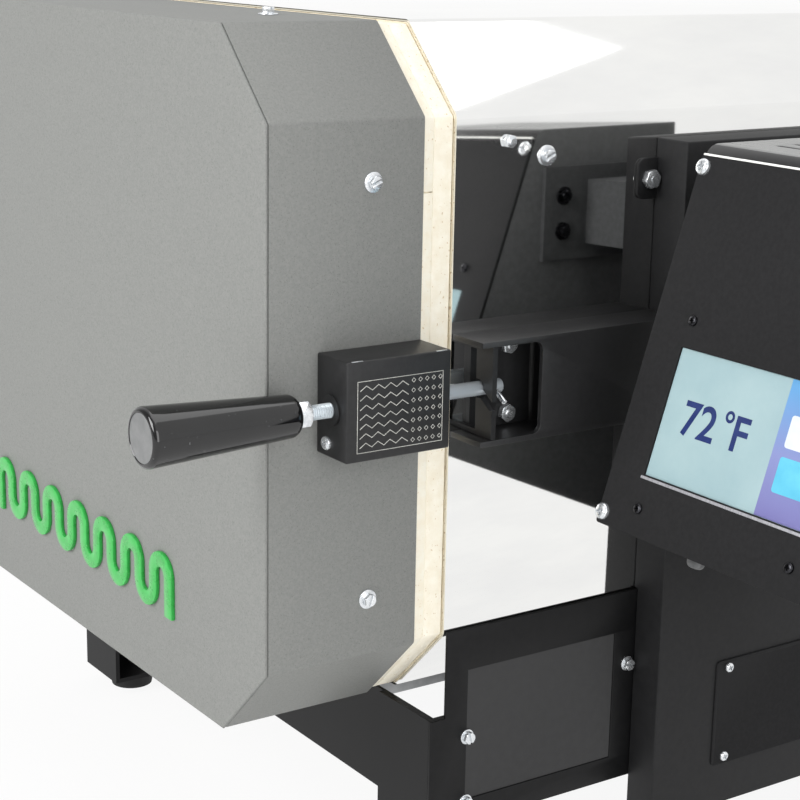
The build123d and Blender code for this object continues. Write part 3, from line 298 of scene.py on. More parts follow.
def newFinish(name, look):
    # two tones mottled together, a fine grain in the surface and a band of roughness
    finish = bpy.data.materials.new(name)
    finish.use_nodes = True
    tree, link = finish.node_tree, finish.node_tree.links.new
    shader = tree.nodes["Principled BSDF"]
    given = {"Metallic": look["metal"], "Coat Weight": look["coat"], "Coat Roughness": 0.05}
    setSockets(shader, {**given, "Specular IOR Level": look["gleam"]})

    where = addNode(tree, "TexCoord")
    stretch = addNode(tree, "Mapping", {"Scale": look["stretch"]})
    link(where.outputs["Object"], stretch.inputs["Vector"])
    mottle = addNode(tree, "TexNoise", {"Scale": look["mottle"], "Detail": 5, "Roughness": 0.6})
    link(stretch.outputs["Vector"], mottle.inputs["Vector"])

    tones = addRamp(tree, (mottling["dark"], tone(*look["dark"])), (mottling["light"], tone(*look["light"])))
    link(mottle.outputs["Fac"], tones.inputs["Fac"])
    colour = tones.outputs["Color"]
    if "speck" in look:
        # small specks, such as pits in brick or flecks in paint
        speck, size, first = look["speck"]
        fleck = addNode(tree, "TexNoise", {"Scale": size, "Detail": 2})
        gate = addRamp(tree, (first, (0, 0, 0, 1)), (first + mottling["speckEdge"], (1, 1, 1, 1)))
        specks = addNode(tree, "MixRGB", {"Color2": tone(*speck)})
        link(where.outputs["Object"], fleck.inputs["Vector"])
        link(fleck.outputs["Fac"], gate.inputs["Fac"])
        link(gate.outputs["Color"], specks.inputs["Fac"])
        link(colour, specks.inputs["Color1"])
        colour = specks.outputs["Color"]
    link(colour, shader.inputs["Base Color"])

    rough = addNode(tree, "MapRange", {"To Min": look["rough"][0], "To Max": look["rough"][1]})
    link(mottle.outputs["Fac"], rough.inputs["Value"])
    link(rough.outputs["Result"], shader.inputs["Roughness"])

    grain = addNode(tree, "TexNoise", {"Scale": look["grain"], "Detail": 3})
    bump = addNode(tree, "Bump", {"Strength": look["bump"], "Distance": look["depth"] * mm})
    link(stretch.outputs["Vector"], grain.inputs["Vector"])
    link(grain.outputs["Fac"], bump.inputs["Height"])
    link(bump.outputs["Normal"], shader.inputs["Normal"])
    return finish


def lookOf(light, dark, rough, base=usualLook, **more):
    return {**usualLook, **base, "light": light, "dark": dark, "rough": rough, **more}


brick = dict(mottle=120, grain=1000, bump=0.7, depth=0.3)
coated = dict(mottle=300, grain=1900, bump=0.35)
screen = dict(mottle=50, grain=400, bump=0.02, depth=0.01, coat=0.5)
looks = {
    "greyPowderCoat": lookOf(
        (138, 139, 136), (129, 130, 128), (0.5, 0.62), mottle=700, gleam=0.15, grain=1500, bump=0.5,
        depth=0.04, speck=((112, 113, 111), 1700, 0.62)
    ),
    "creamBrick": lookOf(
        (255, 250, 234), (252, 243, 222), (0.85, 0.98), brick, mottle=160, grain=1200,
        speck=((226, 206, 170), 620, 0.68)
    ),
    "paleBrick": lookOf(
        (254, 248, 232), (247, 238, 217), (0.85, 0.98), brick, speck=((220, 200, 166), 560, 0.67)
    ),
    "chamberBrick": lookOf(
        (234, 225, 203), (220, 209, 184), (0.85, 0.98), brick, speck=((188, 168, 134), 520, 0.63)
    ),
    "satinBlack": lookOf((36, 36, 37), (29, 29, 30), (0.36, 0.46), coated, gleam=0.4),
    "guardBlack": lookOf((36, 36, 37), (30, 30, 31), (0.34, 0.44), coated, gleam=0.6),
    "catchBlack": lookOf((37, 37, 38), (31, 31, 32), (0.36, 0.46), coated, gleam=0.35),
    "panelBlack": lookOf(
        (38, 38, 39), (33, 33, 34), (0.58, 0.68), mottle=400, gleam=0.1, grain=2200, bump=0.25, depth=0.02
    ),
    # a lighter copy of the control box's black: painted bounce light for its left side
    "sidePaintedLightGrey": lookOf((84, 85, 86), (74, 75, 76), (0.42, 0.52), coated, gleam=0.4, bump=0.3),
    "armGrey": lookOf((78, 79, 80), (69, 70, 71), (0.5, 0.6), coated, gleam=0.2, bump=0.3),
    "caseBlack": lookOf((36, 36, 37), (30, 30, 31), (0.5, 0.6), coated, gleam=0.22),
    "lidSilver": lookOf(
        (140, 141, 140), (126, 127, 127), (0.22, 0.34), metal=1, mottle=60, stretch=(0.1, 4, 1), grain=700,
        bump=0.1, depth=0.02
    ),
    "standBlack": lookOf((20, 20, 21), (15, 15, 16), (0.4, 0.5), coated, gleam=0.2, mottle=200, grain=1700),
    # a lighter copy of the stand's black for the sunk pans: painted sheen where the pressed panels catch the
    # light
    "standPaintedSheen": lookOf((40, 40, 41), (34, 34, 35), (0.4, 0.5), coated, gleam=0.45, mottle=200, grain=1700),
    "brightStainless": lookOf(
        (242, 242, 240), (236, 236, 235), (0.03, 0.06), metal=1, mottle=18, stretch=(1, 0.5, 2), grain=90,
        bump=0.03, depth=0.02
    ),
    "rodZinc": lookOf(
        (240, 246, 250), (214, 224, 232), (0.2, 0.3), metal=0.55, mottle=60, stretch=(1, 0.1, 1), grain=300,
        bump=0.05, depth=0.01
    ),
    "plainSteel": lookOf((196, 197, 198), (168, 170, 172), (0.24, 0.42), metal=1, mottle=60, bump=0.2),
    "zincPlate": lookOf(
        (240, 242, 244), (216, 220, 224), (0.2, 0.32), metal=0.8, mottle=260, bump=0.12, depth=0.02
    ),
    "blackScrew": lookOf((70, 70, 74), (38, 38, 40), (0.22, 0.36), metal=1, mottle=500, grain=1500),
    "gripBlack": lookOf(
        (16, 16, 17), (10, 10, 11), (0.05, 0.1), mottle=60, gleam=0.68, grain=300, bump=0.04, depth=0.02,
        speck=((92, 94, 96), 520, 0.72)
    ),
    "gripEndGrey": lookOf((120, 121, 121), (104, 105, 106), (0.3, 0.42), mottle=140, bump=0.2),
    "bezelGrey": lookOf(
        (168, 168, 172), (140, 140, 146), (0.25, 0.35), mottle=900, stretch=(1, 0.2, 0.2), bump=0.2,
        depth=0.02
    ),
    "tabGrey": lookOf((88, 89, 90), (72, 73, 74), (0.4, 0.5), mottle=300, grain=1500),
    "greenEnamel": lookOf(
        (46, 178, 74), (34, 160, 60), (0.22, 0.34), mottle=120, grain=700, bump=0.2, coat=0.3
    ),
    "engravedSilver": lookOf(
        (206, 206, 200), (176, 176, 170), (0.4, 0.6), mottle=900, grain=2400, depth=0.02
    ),
    "bronze": lookOf((176, 134, 84), (146, 106, 62), (0.25, 0.42), metal=1, mottle=200),
    "whiteCeramic": lookOf((238, 234, 224), (222, 216, 204), (0.3, 0.5), mottle=150, bump=0.2, depth=0.04),
    "whiteWool": lookOf(
        (236, 234, 228), (214, 212, 205), (0.92, 1.0), mottle=90, stretch=(1, 1, 6), grain=700, bump=0.9,
        depth=0.6
    ),
    "elementAlloy": lookOf(
        (150, 138, 126), (104, 94, 86), (0.45, 0.65), metal=1, mottle=180, grain=1100, bump=0.4, depth=0.04
    ),
    "darkPlastic": lookOf((30, 30, 31), (22, 22, 23), (0.38, 0.5), mottle=300, grain=2000, bump=0.4),
    "greenBoard": lookOf(
        (28, 108, 62), (18, 84, 48), (0.3, 0.45), mottle=220, grain=1200, depth=0.04,
        speck=((184, 176, 120), 320, 0.68)
    ),
    "supplyMetal": lookOf(
        (190, 192, 194), (160, 163, 166), (0.3, 0.45), metal=1, mottle=70, stretch=(1, 1, 8), bump=0.2
    ),
    "footRubber": lookOf((34, 34, 34), (22, 22, 22), (0.7, 0.85), mottle=160, bump=0.5, depth=0.08),
    "screenTeal": lookOf((162, 186, 190), (150, 176, 182), (0.12, 0.18), screen, mottle=22),
    "buttonWhite": lookOf((222, 228, 236), (208, 216, 228), (0.12, 0.18), screen),
    "buttonCyan": lookOf((104, 196, 222), (88, 180, 212), (0.12, 0.18), screen),
    "screenInk": lookOf((44, 58, 112), (36, 48, 98), (0.14, 0.2), screen, mottle=120),
    # near white: the painted highlight of the faceplate's top bend
    "edgePaintedHighlight": lookOf(
        (248, 248, 245), (232, 232, 228), (0.25, 0.4), mottle=300, grain=1500, bump=0.2, depth=0.02
    ),
}
finishes = {name: newFinish(name, look) for name, look in looks.items()}

# the menu side of the screen runs from blue at the top to lavender below
menuLook = dict(top=(96, 158, 208), middle=(132, 140, 190), low=(120, 118, 172), middleAt=0.45)
menuHeights = sized(low=292, high=355)
finishes["screenMenu"] = newFinish("screenMenu", looks["screenTeal"])
tree, link = finishes["screenMenu"].node_tree, finishes["screenMenu"].node_tree.links.new
where, split = addNode(tree, "TexCoord"), addNode(tree, "SeparateXYZ")
rise = addNode(tree, "MapRange", {"From Min": menuHeights["low"], "From Max": menuHeights["high"]})
low, middle, top = (tone(*menuLook[name]) for name in ("low", "middle", "top"))
tones = addRamp(tree, (0, low), (menuLook["middleAt"], middle), (1, top))
link(where.outputs["Object"], split.inputs["Vector"])
link(split.outputs["Z"], rise.inputs["Value"])
link(rise.outputs["Result"], tones.inputs["Fac"])
link(tones.outputs["Color"], tree.nodes["Principled BSDF"].inputs["Base Color"])

# carried-over CAD nodes, by finish
carried = {
    "chamberBrick": ("front_brick", "floor_and_roof_bricks", "side_bricks", "rear_brick", "door_backing"),
    "whiteWool": ("body_wool", "rear_wool"),
    "plainSteel": (
        "body_hinge_leaves", "door_hinge_leaves", "hinge_pins", "rear_cover", "back_panel", "thermocouple",
        "latch_spring", "thrust_washer", "latch_collar", "body_pan_screws", "cradle_rails",
    ),
    "elementAlloy": ("heating_elements",),
    "whiteCeramic": ("element_bushings", "thermocouple_head"),
    "bronze": ("element_connectors",),
    "catchBlack": ("latch_bracket", "catch_plate"),
    "armGrey": ("control_arm",),
    "standBlack": ("stand_legs", "base_end_rails"),
    "darkPlastic": (
        "latch_bushes", "cord_gland", "power_switch_housing", "power_rocker", "display_module",
        "power_relays",
    ),
    "greenBoard": ("circuit_board",),
    "supplyMetal": ("power_supply",),
    "footRubber": ("stand_feet",),
}
for finishName, nodeNames in carried.items():
    for nodeName in nodeNames:
        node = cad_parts[nodeName]
        node.data.materials.clear()
        node.data.materials.append(finishes[finishName])
print("finishes made:", len(finishes))

# places that several pieces share
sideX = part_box("body_jacket")[1].x  # flat right side of the oven
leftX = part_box("body_jacket")[0].x
shellX = (sideX + leftX) / 2
axisZ = 325 * mm  # latch axis, half way up the octagon
shellHalf = 189 * mm  # from the axis to the top and the bottom
shellCorner = 46 * mm
cornerLoss = 0.586  # what an inset takes off the corner's cut
past = 10 * mm  # how far a cutter stands past what it cuts


def addShell(name, frontY, backY, inset=0.0):
    # the octagon that the door and the body share
    halfW, halfH = (sideX - leftX) / 2 - inset, shellHalf - inset
    piece = addBlock(name, (shellX - halfW, frontY, axisZ - halfH), (shellX + halfW, backY, axisZ + halfH))
    pickEdges(piece, running(0, 1, 0))
    bpy.ops.mesh.bevel(offset=shellCorner - inset * cornerLoss, segments=1, affect="EDGES")
    closeMesh()
    return piece


# fasteners, each modelled once at the origin with its head up


def addPanHead(name, radius, rise, shank, length):
    # a low dome with a crossed slot, all in shares of its radius and its rise
    slotX, slotY, slotLow, slotHigh = radius * 0.55, radius * 0.13, rise * 0.35, rise * 1.2
    pitRadius, pitFloor, rimRise, softEdge = radius * 0.24, rise * 0.2, rise * 0.45, radius * 0.035
    head = addRound(name, rimRise, radius, 40)
    pickFaces(head, facing(0, 0, 1))
    for lift, shrink in ((0.27, 0.93), (0.17, 0.86), (0.11, 0.7)):
        pull(0, 0, rise * lift)
        bpy.ops.transform.resize(value=(shrink, shrink, 1))
    closeMesh()
    for turn in (0, pi / 2):
        slot = addBlock("slot", (-slotX, -slotY, slotLow), (slotX, slotY, slotHigh))
        slot.data.transform(Matrix.Rotation(turn, 4, "Z"))
        carve(head, slot)
    carve(head, addRound("pit", rise, pitRadius, 16, (0, 0, pitFloor)))
    shaft = addRound("shaft", length + pitFloor, shank, 20, (0, 0, -length))
    head = merge(name, [head, shaft])
    soften(head, softEdge, 1)
    return head


def addHexBar(name, across, rise, chamfer):
    # a hexagon whose corners are turned off
    corner = across / 2 / cos(pi / 6)
    spare = rise * 0.01
    bar = addRound(name, rise, corner, 6)
    turned = addRound("turned", rise + 2 * spare, corner * 1.005, 48, (0, 0, -spare))
    roundEdges(turned, lambda middle, along: abs(middle.z - rise - spare) < spare, chamfer, 1)
    cutWith(bar, turned, "INTERSECT")
    return bar


def addThread(name, start, direction, length, radius, pitch):
    # a V profile wound by the Screw modifier, on a core
    core = addRound(name, length, radius - pitch / 2, 32)
    ridgeSize = pitch * 0.55
    clearSelection()
    bpy.ops.mesh.primitive_circle_add(
        vertices=3, radius=ridgeSize, fill_type="NGON", location=(radius - ridgeSize, 0, pitch / 2),
        rotation=(pi / 2, 0, 0),
    )
    ridge = bpy.context.object
    pickFaces(ridge, everyFace)
    bpy.ops.transform.rotate(value=-pi / 2, orient_axis="Y", center_override=ridge.location)
    bpy.ops.mesh.delete(type="ONLY_FACE")
    closeMesh()
    settle(ridge)
    wind = ridge.modifiers.new("wind", "SCREW")
    wind.axis = "Z"
    wind.screw_offset = pitch
    wind.iterations = max(1, int((length - pitch) / pitch))
    wind.steps = wind.render_steps = 28
    wind.use_merge_vertices = True
    wind.merge_threshold = 1e-6
    activate(ridge)
    bpy.ops.object.modifier_apply(modifier=wind.name)
    openMesh(ridge, "EDGE")
    bpy.ops.mesh.select_non_manifold()
    bpy.ops.mesh.edge_face_add()
    bpy.ops.mesh.select_all(action="SELECT")
    bpy.ops.mesh.normals_make_consistent(inside=False)
    closeMesh()
    thread = merge(name, [core, ridge])
    thread.data.transform(seatAt(start, direction))
    smooth(thread, 30)
    return thread


def addHexScrew(name, washer, washerRise, across, rise):
    # a slotted head on its own washer
    slotHalf, slotDeep, reach = across * 0.09, rise * 0.32, 5 * mm
    seat = washerRise * 0.9
    disc = addRound(name, washerRise, washer, 40)
    soften(disc, washerRise * 0.3)
    head = addHexBar("head", across, rise, rise * 0.16)
    head.data.transform(Matrix.Translation((0, 0, seat)))
    top = seat + rise
    carve(head, addBlock("slot", (-across, -slotHalf, top - slotDeep), (across, slotHalf, top + 1 * mm)))
    soften(head, across * 0.02, 1)
    shaft = addRound("shaft", reach + 1 * mm, across * 0.3, 20, (0, 0, -reach))
    return merge(name, [disc, head, shaft])


def addStudNut(name, across, rise, studRadius, studOut):
    nut = addHexBar(name, across, rise, rise * 0.14)
    soften(nut, across * 0.02, 1)
    rooted = 3 * mm  # how far the stud goes in
    stud = addThread("stud", (0, 0, -rooted), (0, 0, 1), rise + studOut + rooted, studRadius, 0.7 * mm)
    return merge(name, [nut, stud])


panScrew = addPanHead("panScrew", **sized(radius=3.6, rise=2.4, shank=1.9, length=5))
cornerScrew = addPanHead("cornerScrew", **sized(radius=4.4, rise=2.9, shank=1.2, length=5))
plateScrew = addPanHead("plateScrew", **sized(radius=3.0, rise=1.8, shank=1.2, length=5))
darkScrew = addPanHead("darkScrew", **sized(radius=2.7, rise=1.7, shank=1.2, length=2))
hexScrew = addHexScrew("hexScrew", **sized(washer=5.4, washerRise=0.9, across=6.4, rise=3.4))
print("fasteners modelled")

# door: a flat front sheet on a folded band, with brick and board behind

door = sized(edge=0.9, rim=3, fold=1.2, lip=2, brickIn=2.3, brickEdge=0.36, boardEdge=0.7)
panelLow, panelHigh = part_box("door_front_panel")
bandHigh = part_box("door_band")[1]

doorPanel = addShell("doorPanel", panelLow.y, panelHigh.y)
pickFaces(doorPanel, facing(0, 1, 0))
inset(door["rim"])  # the rim that lies on the band
closeMesh()
soften(doorPanel, door["edge"], 3, 60)
dress(doorPanel, "door", "greyPowderCoat", "door_paint", "door_front_panel")

doorBand = addShell("doorBand", panelHigh.y, bandHigh.y)
roundEdges(doorBand, running(0, 1, 0), door["fold"], 3)
pickFaces(doorBand, facing(0, 1, 0))
inset(door["lip"])
pull(0, panelHigh.y + door["lip"] - bandHigh.y, 0)
closeMesh()
soften(doorBand, door["edge"], 2, 60)
dress(doorBand, "door", "greyPowderCoat", "door_paint", "door_band")

# one level joint between two courses of brick
joint = sized(up=103.6, half=0.3, deep=1.6, sideDeep=3.6)
jointZ = axisZ + joint["up"]
jointLow, jointHigh = jointZ - joint["half"], jointZ + joint["half"]
brickLow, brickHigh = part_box("door_brick")
doorBrick = addShell("doorBrick", brickLow.y, brickHigh.y, door["brickIn"])
jointEnd = (sideX + past, brickHigh.y + past, jointHigh)
course = addBlock("course", (leftX - past, brickHigh.y - joint["deep"], jointLow), jointEnd)
rim = addBlock("rim", (sideX - joint["sideDeep"], brickLow.y - past, jointLow), jointEnd)
carve(doorBrick, course, rim)
soften(doorBrick, door["brickEdge"])
dress(doorBrick, "door", "creamBrick", "door_insulation", "door_brick")

boardLow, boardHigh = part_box("door_face_board")
doorBoard = addShell("doorBoard", boardLow.y, boardHigh.y, door["brickIn"])
soften(doorBoard, door["boardEdge"])
dress(doorBoard, "door", "paleBrick", "face_board", "door_face_board")

# the door's screws sit on the band, two on each side and two on the top and the bottom
screwAt = dict(sized(depth=62.8, spread=111.4, across=120), turns=(0.35, 1.2, 0.8, 2.1, 0.1, 1.7, 2.6, 0.6))
screwY = panelLow.y + screwAt["depth"]
doorSeats = [
    ((x, screwY, axisZ + up * screwAt["spread"]), (side, 0, 0))
    for x, side in ((sideX, 1), (leftX, -1)) for up in (1, -1)
] + [
    ((shellX + across * screwAt["across"], screwY, axisZ + up * shellHalf), (0, 0, up))
    for up in (1, -1) for across in (1, -1)
]
doorScrews = copyTo(hexScrew, "doorScrews", [
    seatAt(point, way, turn) for (point, way), turn in zip(doorSeats, screwAt["turns"])
])
dress(doorScrews, "door", "zincPlate", "zinc_steel", "door_screws")

# a green ribbon low on the door's front, wound to and fro like a heating wire
emblem = dict(sized(left=-236.7, right=13.3, low=181, high=218, rise=2.6, bar=9, edge=0.6), legs=14, steps=14)
legStep = (emblem["right"] - emblem["left"] - emblem["bar"]) / (emblem["legs"] - 1)
legX = emblem["left"] + emblem["bar"] / 2
ribbonY = panelLow.y - emblem["rise"] / 2
turnRadius = (legStep + emblem["bar"]) / 2
straight = emblem["high"] - emblem["low"] - 2 * turnRadius
clearSelection()
bpy.ops.mesh.primitive_plane_add(size=1, location=(legX, ribbonY, emblem["low"]))
doorEmblem = bpy.context.object
doorEmblem.name = "doorEmblem"
doorEmblem.scale = (emblem["bar"], emblem["rise"], 1)
settle(doorEmblem)
pickFaces(doorEmblem, everyFace)
pull(0, 0, turnRadius + straight)
for leg in range(emblem["legs"] - 1):
    up = leg % 2 == 0
    bendZ = emblem["high"] - turnRadius if up else emblem["low"] + turnRadius
    bpy.ops.mesh.spin(
        steps=emblem["steps"], angle=-pi if up else pi, center=(legX + (leg + 0.5) * legStep, ribbonY, bendZ),
        axis=(0, 1, 0),
    )
    last = leg == emblem["legs"] - 2
    pull(0, 0, (straight + (turnRadius if last else 0)) * (-1 if up else 1))
bpy.ops.mesh.select_all(action="SELECT")
bpy.ops.mesh.normals_make_consistent(inside=False)
closeMesh()
soften(doorEmblem, emblem["edge"])
dress(doorEmblem, "door", "greenEnamel", "door_paint")
print("door done")

# latch box on the door's side, with engraved line work on its outer face

boxLook = sized(edge=0.9, wall=2, rodOut=14, bush=6.1, boreLong=100)
boxLow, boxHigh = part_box("latch_box")
rodX = sideX + boxLook["rodOut"]


def addBar(name, y, length, radius, sides):
    # round the latch's axis
    return addRound(name, length, radius, sides, (rodX, y, axisZ), (0, 1, 0))


latchBox = addBlock("latchBox", boxLow, boxHigh)
pickFaces(latchBox, facing(-1, 0, 0))
inset(boxLook["wall"])
pull(boxHigh.x - boxLow.x - boxLook["wall"], 0, 0)
closeMesh()
carve(latchBox, addBar("bore", boxLow.y - past, boxLook["boreLong"], boxLook["bush"], 40))
soften(latchBox, boxLook["edge"], 3)
dress(latchBox, "door", "satinBlack", "satin_black", "latch_box")

# the box is bent from sheet, and its tabs show as two small bright marks on the top edge
tabLook = sized(front=6.5, back=5.5, half=3.4, inner=1.4, outer=0.35, sunk=0.5, proud=0.1, edge=0.15)
tabs = []
for y in (boxLow.y + tabLook["front"], boxHigh.y - tabLook["back"]):
    tab = addBlock(
        "tab", (boxHigh.x - tabLook["inner"], y - tabLook["half"], boxHigh.z - tabLook["sunk"]),
        (boxHigh.x - tabLook["outer"], y + tabLook["half"], boxHigh.z + tabLook["proud"]),
    )
    soften(tab, tabLook["edge"], 1)
    tabs.append(tab)
boxTabs = merge("boxTabs", tabs)
dress(boxTabs, "door", "plainSteel", "plain_steel")

# stacked zigzags in a frame, with a block of small diamonds
engraving = dict(sized(front=6.5, back=58.5, low=-20.5, high=16.5, proud=0.02, line=0.24), split=0.62)
zigzag = dict(rows=7, steps=8, inset=1.5 * mm, swing=1.25 * mm)
diamond = dict(sized(insetY=1.6, insetZ=2.8, reach=1.15), columns=5, rows=7, thin=0.8)
engraveX = boxHigh.x + engraving["proud"]
frontY, backY = boxLow.y + engraving["front"], boxLow.y + engraving["back"]
lowZ, highZ = axisZ + engraving["low"], axisZ + engraving["high"]
splitY = frontY + (backY - frontY) * engraving["split"]
frameLine = [(engraveX, y, z) for y, z in ((frontY, lowZ), (backY, lowZ), (backY, highZ), (frontY, highZ))]
zigzags = []
for row in range(zigzag["rows"]):
    level = lowZ + (highZ - lowZ) * (row + 0.75) / (zigzag["rows"] + 0.5)
    points = []
    for step in range(zigzag["steps"] + 1):
        y = frontY + zigzag["inset"] + (splitY - frontY - 2 * zigzag["inset"]) * step / zigzag["steps"]
        points.append((engraveX, y, level + (zigzag["swing"] if step % 2 else -zigzag["swing"])))
    zigzags.append(points)
diamonds = []
insetY, insetZ, reach = diamond["insetY"], diamond["insetZ"], diamond["reach"]
for i in range(diamond["columns"]):
    for j in range(diamond["rows"]):
        y = splitY + insetY + (backY - splitY - 2 * insetY) * i / (diamond["columns"] - 1)
        z = lowZ + insetZ + (highZ - lowZ - 2 * insetZ) * j / (diamond["rows"] - 1)
        corners = ((y - reach, z), (y, z - reach), (y + reach, z), (y, z + reach))
        diamonds.append([(engraveX, *corner) for corner in corners])
boxEngraving = merge("boxEngraving", [
    drawLines("engraveFrame", [frameLine], engraving["line"], closed=True),
    drawLines("engraveZigzag", zigzags, engraving["line"]),
    drawLines("engraveDiamonds", diamonds, engraving["line"] * diamond["thin"], closed=True),
])
dress(boxEngraving, "door", "engravedSilver", "satin_black")

# the pan head screw at the box's front, and those of the hinge leaves on the door
latchAt = dict(out=10.3 * mm, down=18 * mm, turn=0.5)
leafAt = dict(heights=(405 * mm, 245 * mm), steps=((-12, 7), (10, -7)), back=25 * mm, thick=2 * mm, turn=0.4)
screwPoint = (sideX + latchAt["out"], boxLow.y, axisZ - latchAt["down"])
latchScrew = copyTo(panScrew, "latchScrew", [seatAt(screwPoint, (0, -1, 0), latchAt["turn"])])
leafX, leafY = leftX - leafAt["thick"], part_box("door_hinge_leaves")[0].y + leafAt["back"]
leafScrews = copyTo(panScrew, "leafScrews", [
    seatAt((leafX, leafY + step * mm, height + up * mm), (-1, 0, 0), leafAt["turn"] * up)
    for height in leafAt["heights"] for step, up in leafAt["steps"]
])
doorPanScrews = merge("doorPanScrews", [latchScrew, leafScrews])
dress(doorPanScrews, "door", "zincPlate", "zinc_steel", "door_pan_screws")
print("latch box done")

# plunger latch: grip, lock nut, threaded rod, roll pin

grip = sized(
    frontRadius=15.35, backRadius=10.85, shoulder=5, lip=2.8, rim=0.5, dish=0.35, endFrom=0.1, endTo=1
)
gripLow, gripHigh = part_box("latch_grip")
latchGrip = addBar("latchGrip", gripLow.y, gripHigh.y - gripLow.y, grip["frontRadius"], 96)
pickFaces(latchGrip, facing(0, 1, 0))
taper = grip["backRadius"] / grip["frontRadius"]
bpy.ops.transform.resize(value=(taper, 1, taper), center_override=(rodX, gripHigh.y, axisZ))
closeMesh()
roundEdges(latchGrip, ringAt(gripHigh.y), grip["shoulder"], 8)
roundEdges(latchGrip, ringAt(gripLow.y), grip["lip"], 8)
pickFaces(latchGrip, lambda middle, normal: normal.y < -0.99 and middle.y < gripLow.y + grip["endFrom"])
inset(grip["rim"])
inset(grip["dish"], -grip["dish"])
closeMesh()
smooth(latchGrip, 30)
dress(latchGrip, "latch", "gripBlack", "grip_plastic", "latch_grip")
endLow, endHigh = gripLow.y + grip["endFrom"], gripLow.y + grip["endTo"]
secondFinish(latchGrip, "gripEndGrey", lambda middle, way: way.y < -0.99 and endLow < middle.y < endHigh)

lockNutLook = dict(sized(across=12.7, chamfer=0.9, edge=0.25), turn=0.3)
nutLow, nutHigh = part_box("latch_lock_nut")
lockNut = addHexBar("lockNut", lockNutLook["across"], nutHigh.y - nutLow.y, lockNutLook["chamfer"])
soften(lockNut, lockNutLook["edge"])
lockNut.data.transform(seatAt((rodX, nutLow.y, axisZ), (0, 1, 0), lockNutLook["turn"]))
dress(lockNut, "latch", "zincPlate", "zinc_steel", "latch_lock_nut")

rod = dict(sized(radius=3.97, pitch=1.25, plain=20, threadIn=4, edge=0.8), core=0.84)
rodLow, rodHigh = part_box("latch_rod")
threadFrom = (rodX, rodLow.y + rod["plain"], axisZ)
threadEnd = boxLow.y + rod["threadIn"]
threadLong = threadEnd - rodLow.y - rod["plain"]
rodThread = addThread("rodThread", threadFrom, (0, 1, 0), threadLong, rod["radius"], rod["pitch"])
rodShank = addBar("rodShank", threadEnd, rodHigh.y - threadEnd, rod["radius"], 48)
roundEdges(rodShank, ringAt(rodHigh.y), rod["edge"], 2)
rodTail = addBar("rodTail", rodLow.y, rod["plain"], rod["radius"] * rod["core"], 32)
smooth(rodShank, 30)
latchRod = merge("latchRod", [rodThread, rodShank, rodTail])
dress(latchRod, "latch", "rodZinc", "plain_steel", "latch_rod")

pin = dict(
    sized(back=4.5, out=12.5, radius=1.5, wall=0.75, edge=0.18, splitFrom=0.2, splitTo=3, splitHalf=0.3),
    droop=33, turn=2.4,
)
pinWay = Vector((cos(radians(pin["droop"])), 0, -sin(radians(pin["droop"]))))
pinStart = Vector((rodX, rodHigh.y - pin["back"], axisZ)) - pinWay * rod["radius"]
pinLong = rod["radius"] + pin["out"]
rollPin = addRound("rollPin", pinLong, pin["radius"], 32)
pickFaces(rollPin, running(0, 0, 1))
inset(pin["wall"], each=True)
bpy.ops.mesh.bridge_edge_loops()
closeMesh()
splitEnd = (pin["splitTo"], pin["splitHalf"], pinLong + past)
carve(rollPin, addBlock("split", (pin["splitFrom"], -pin["splitHalf"], -past), splitEnd))
soften(rollPin, pin["edge"], 2, 50)
rollPin.data.transform(seatAt(pinStart, pinWay, pin["turn"]))
dress(rollPin, "latch", "zincPlate", "plain_steel", "latch_roll_pin")
print("latch done")

# catch plate, its nuts, and the guard beam around them

guard = sized(wall=3, window=53, notch=40, notchRound=5, edge=0.9)
beamLow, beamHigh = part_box("catch_beam")
wall = guard["wall"]
insideLow, insideHigh = beamLow.z + wall, beamHigh.z - wall
catchBeam = addBlock("catchBeam", beamLow, beamHigh)
hollowEnd = (beamHigh.x - wall, beamHigh.y + past, insideHigh)
hollow = addBlock("hollow", (beamLow.x + wall, beamLow.y - past, insideLow), hollowEnd)
window = addBlock(
    "window", (beamLow.x - past, beamLow.y - past, insideLow),
    (beamLow.x + 2 * wall, beamLow.y + guard["window"], insideHigh),
)
notch = addBlock(
    "notch", (beamHigh.x - 2 * wall, beamLow.y - guard["notch"], insideLow),
    (beamHigh.x + past, beamLow.y + guard["notch"], insideHigh),
)
roundEdges(notch, running(1, 0, 0), guard["notchRound"], 5)
carve(catchBeam, hollow, window, notch)
soften(catchBeam, guard["edge"], 3)
dress(catchBeam, "root", "guardBlack", "satin_black", "catch_beam")

catchNutAt = dict(sized(out=3, back=27, up=19), turns=(0.2, 0.9))
catchNut = addStudNut("catchNut", **sized(across=8.8, rise=3.6, studRadius=2.2, studOut=1.6))
catchNutX, catchNutY = sideX + catchNutAt["out"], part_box("catch_plate")[0].y + catchNutAt["back"]
catchNuts = copyTo(catchNut, "catchNuts", [
    seatAt((catchNutX, catchNutY, axisZ + up * catchNutAt["up"]), (1, 0, 0), turn)
    for up, turn in zip((1, -1), catchNutAt["turns"])
])
dress(catchNuts, "root", "zincPlate", "zinc_steel", "catch_fasteners")
print("catch done")

# body: a mirror bright stainless wrapper around the brick

jacket = sized(bend=2.5, wall=1.2)
jacketLow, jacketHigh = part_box("body_jacket")
bodyJacket = addShell("bodyJacket", jacketLow.y, jacketHigh.y)
roundEdges(bodyJacket, running(0, 1, 0), jacket["bend"], 5)
pickFaces(bodyJacket, running(0, 1, 0))
inset(jacket["wall"], each=True)
bpy.ops.mesh.bridge_edge_loops()
closeMesh()
smooth(bodyJacket, 25)
dress(bodyJacket, "root", "brightStainless", "bright_stainless", "body_jacket")

# enclosure of the wiring on the body's side, with an ear bolted to the body

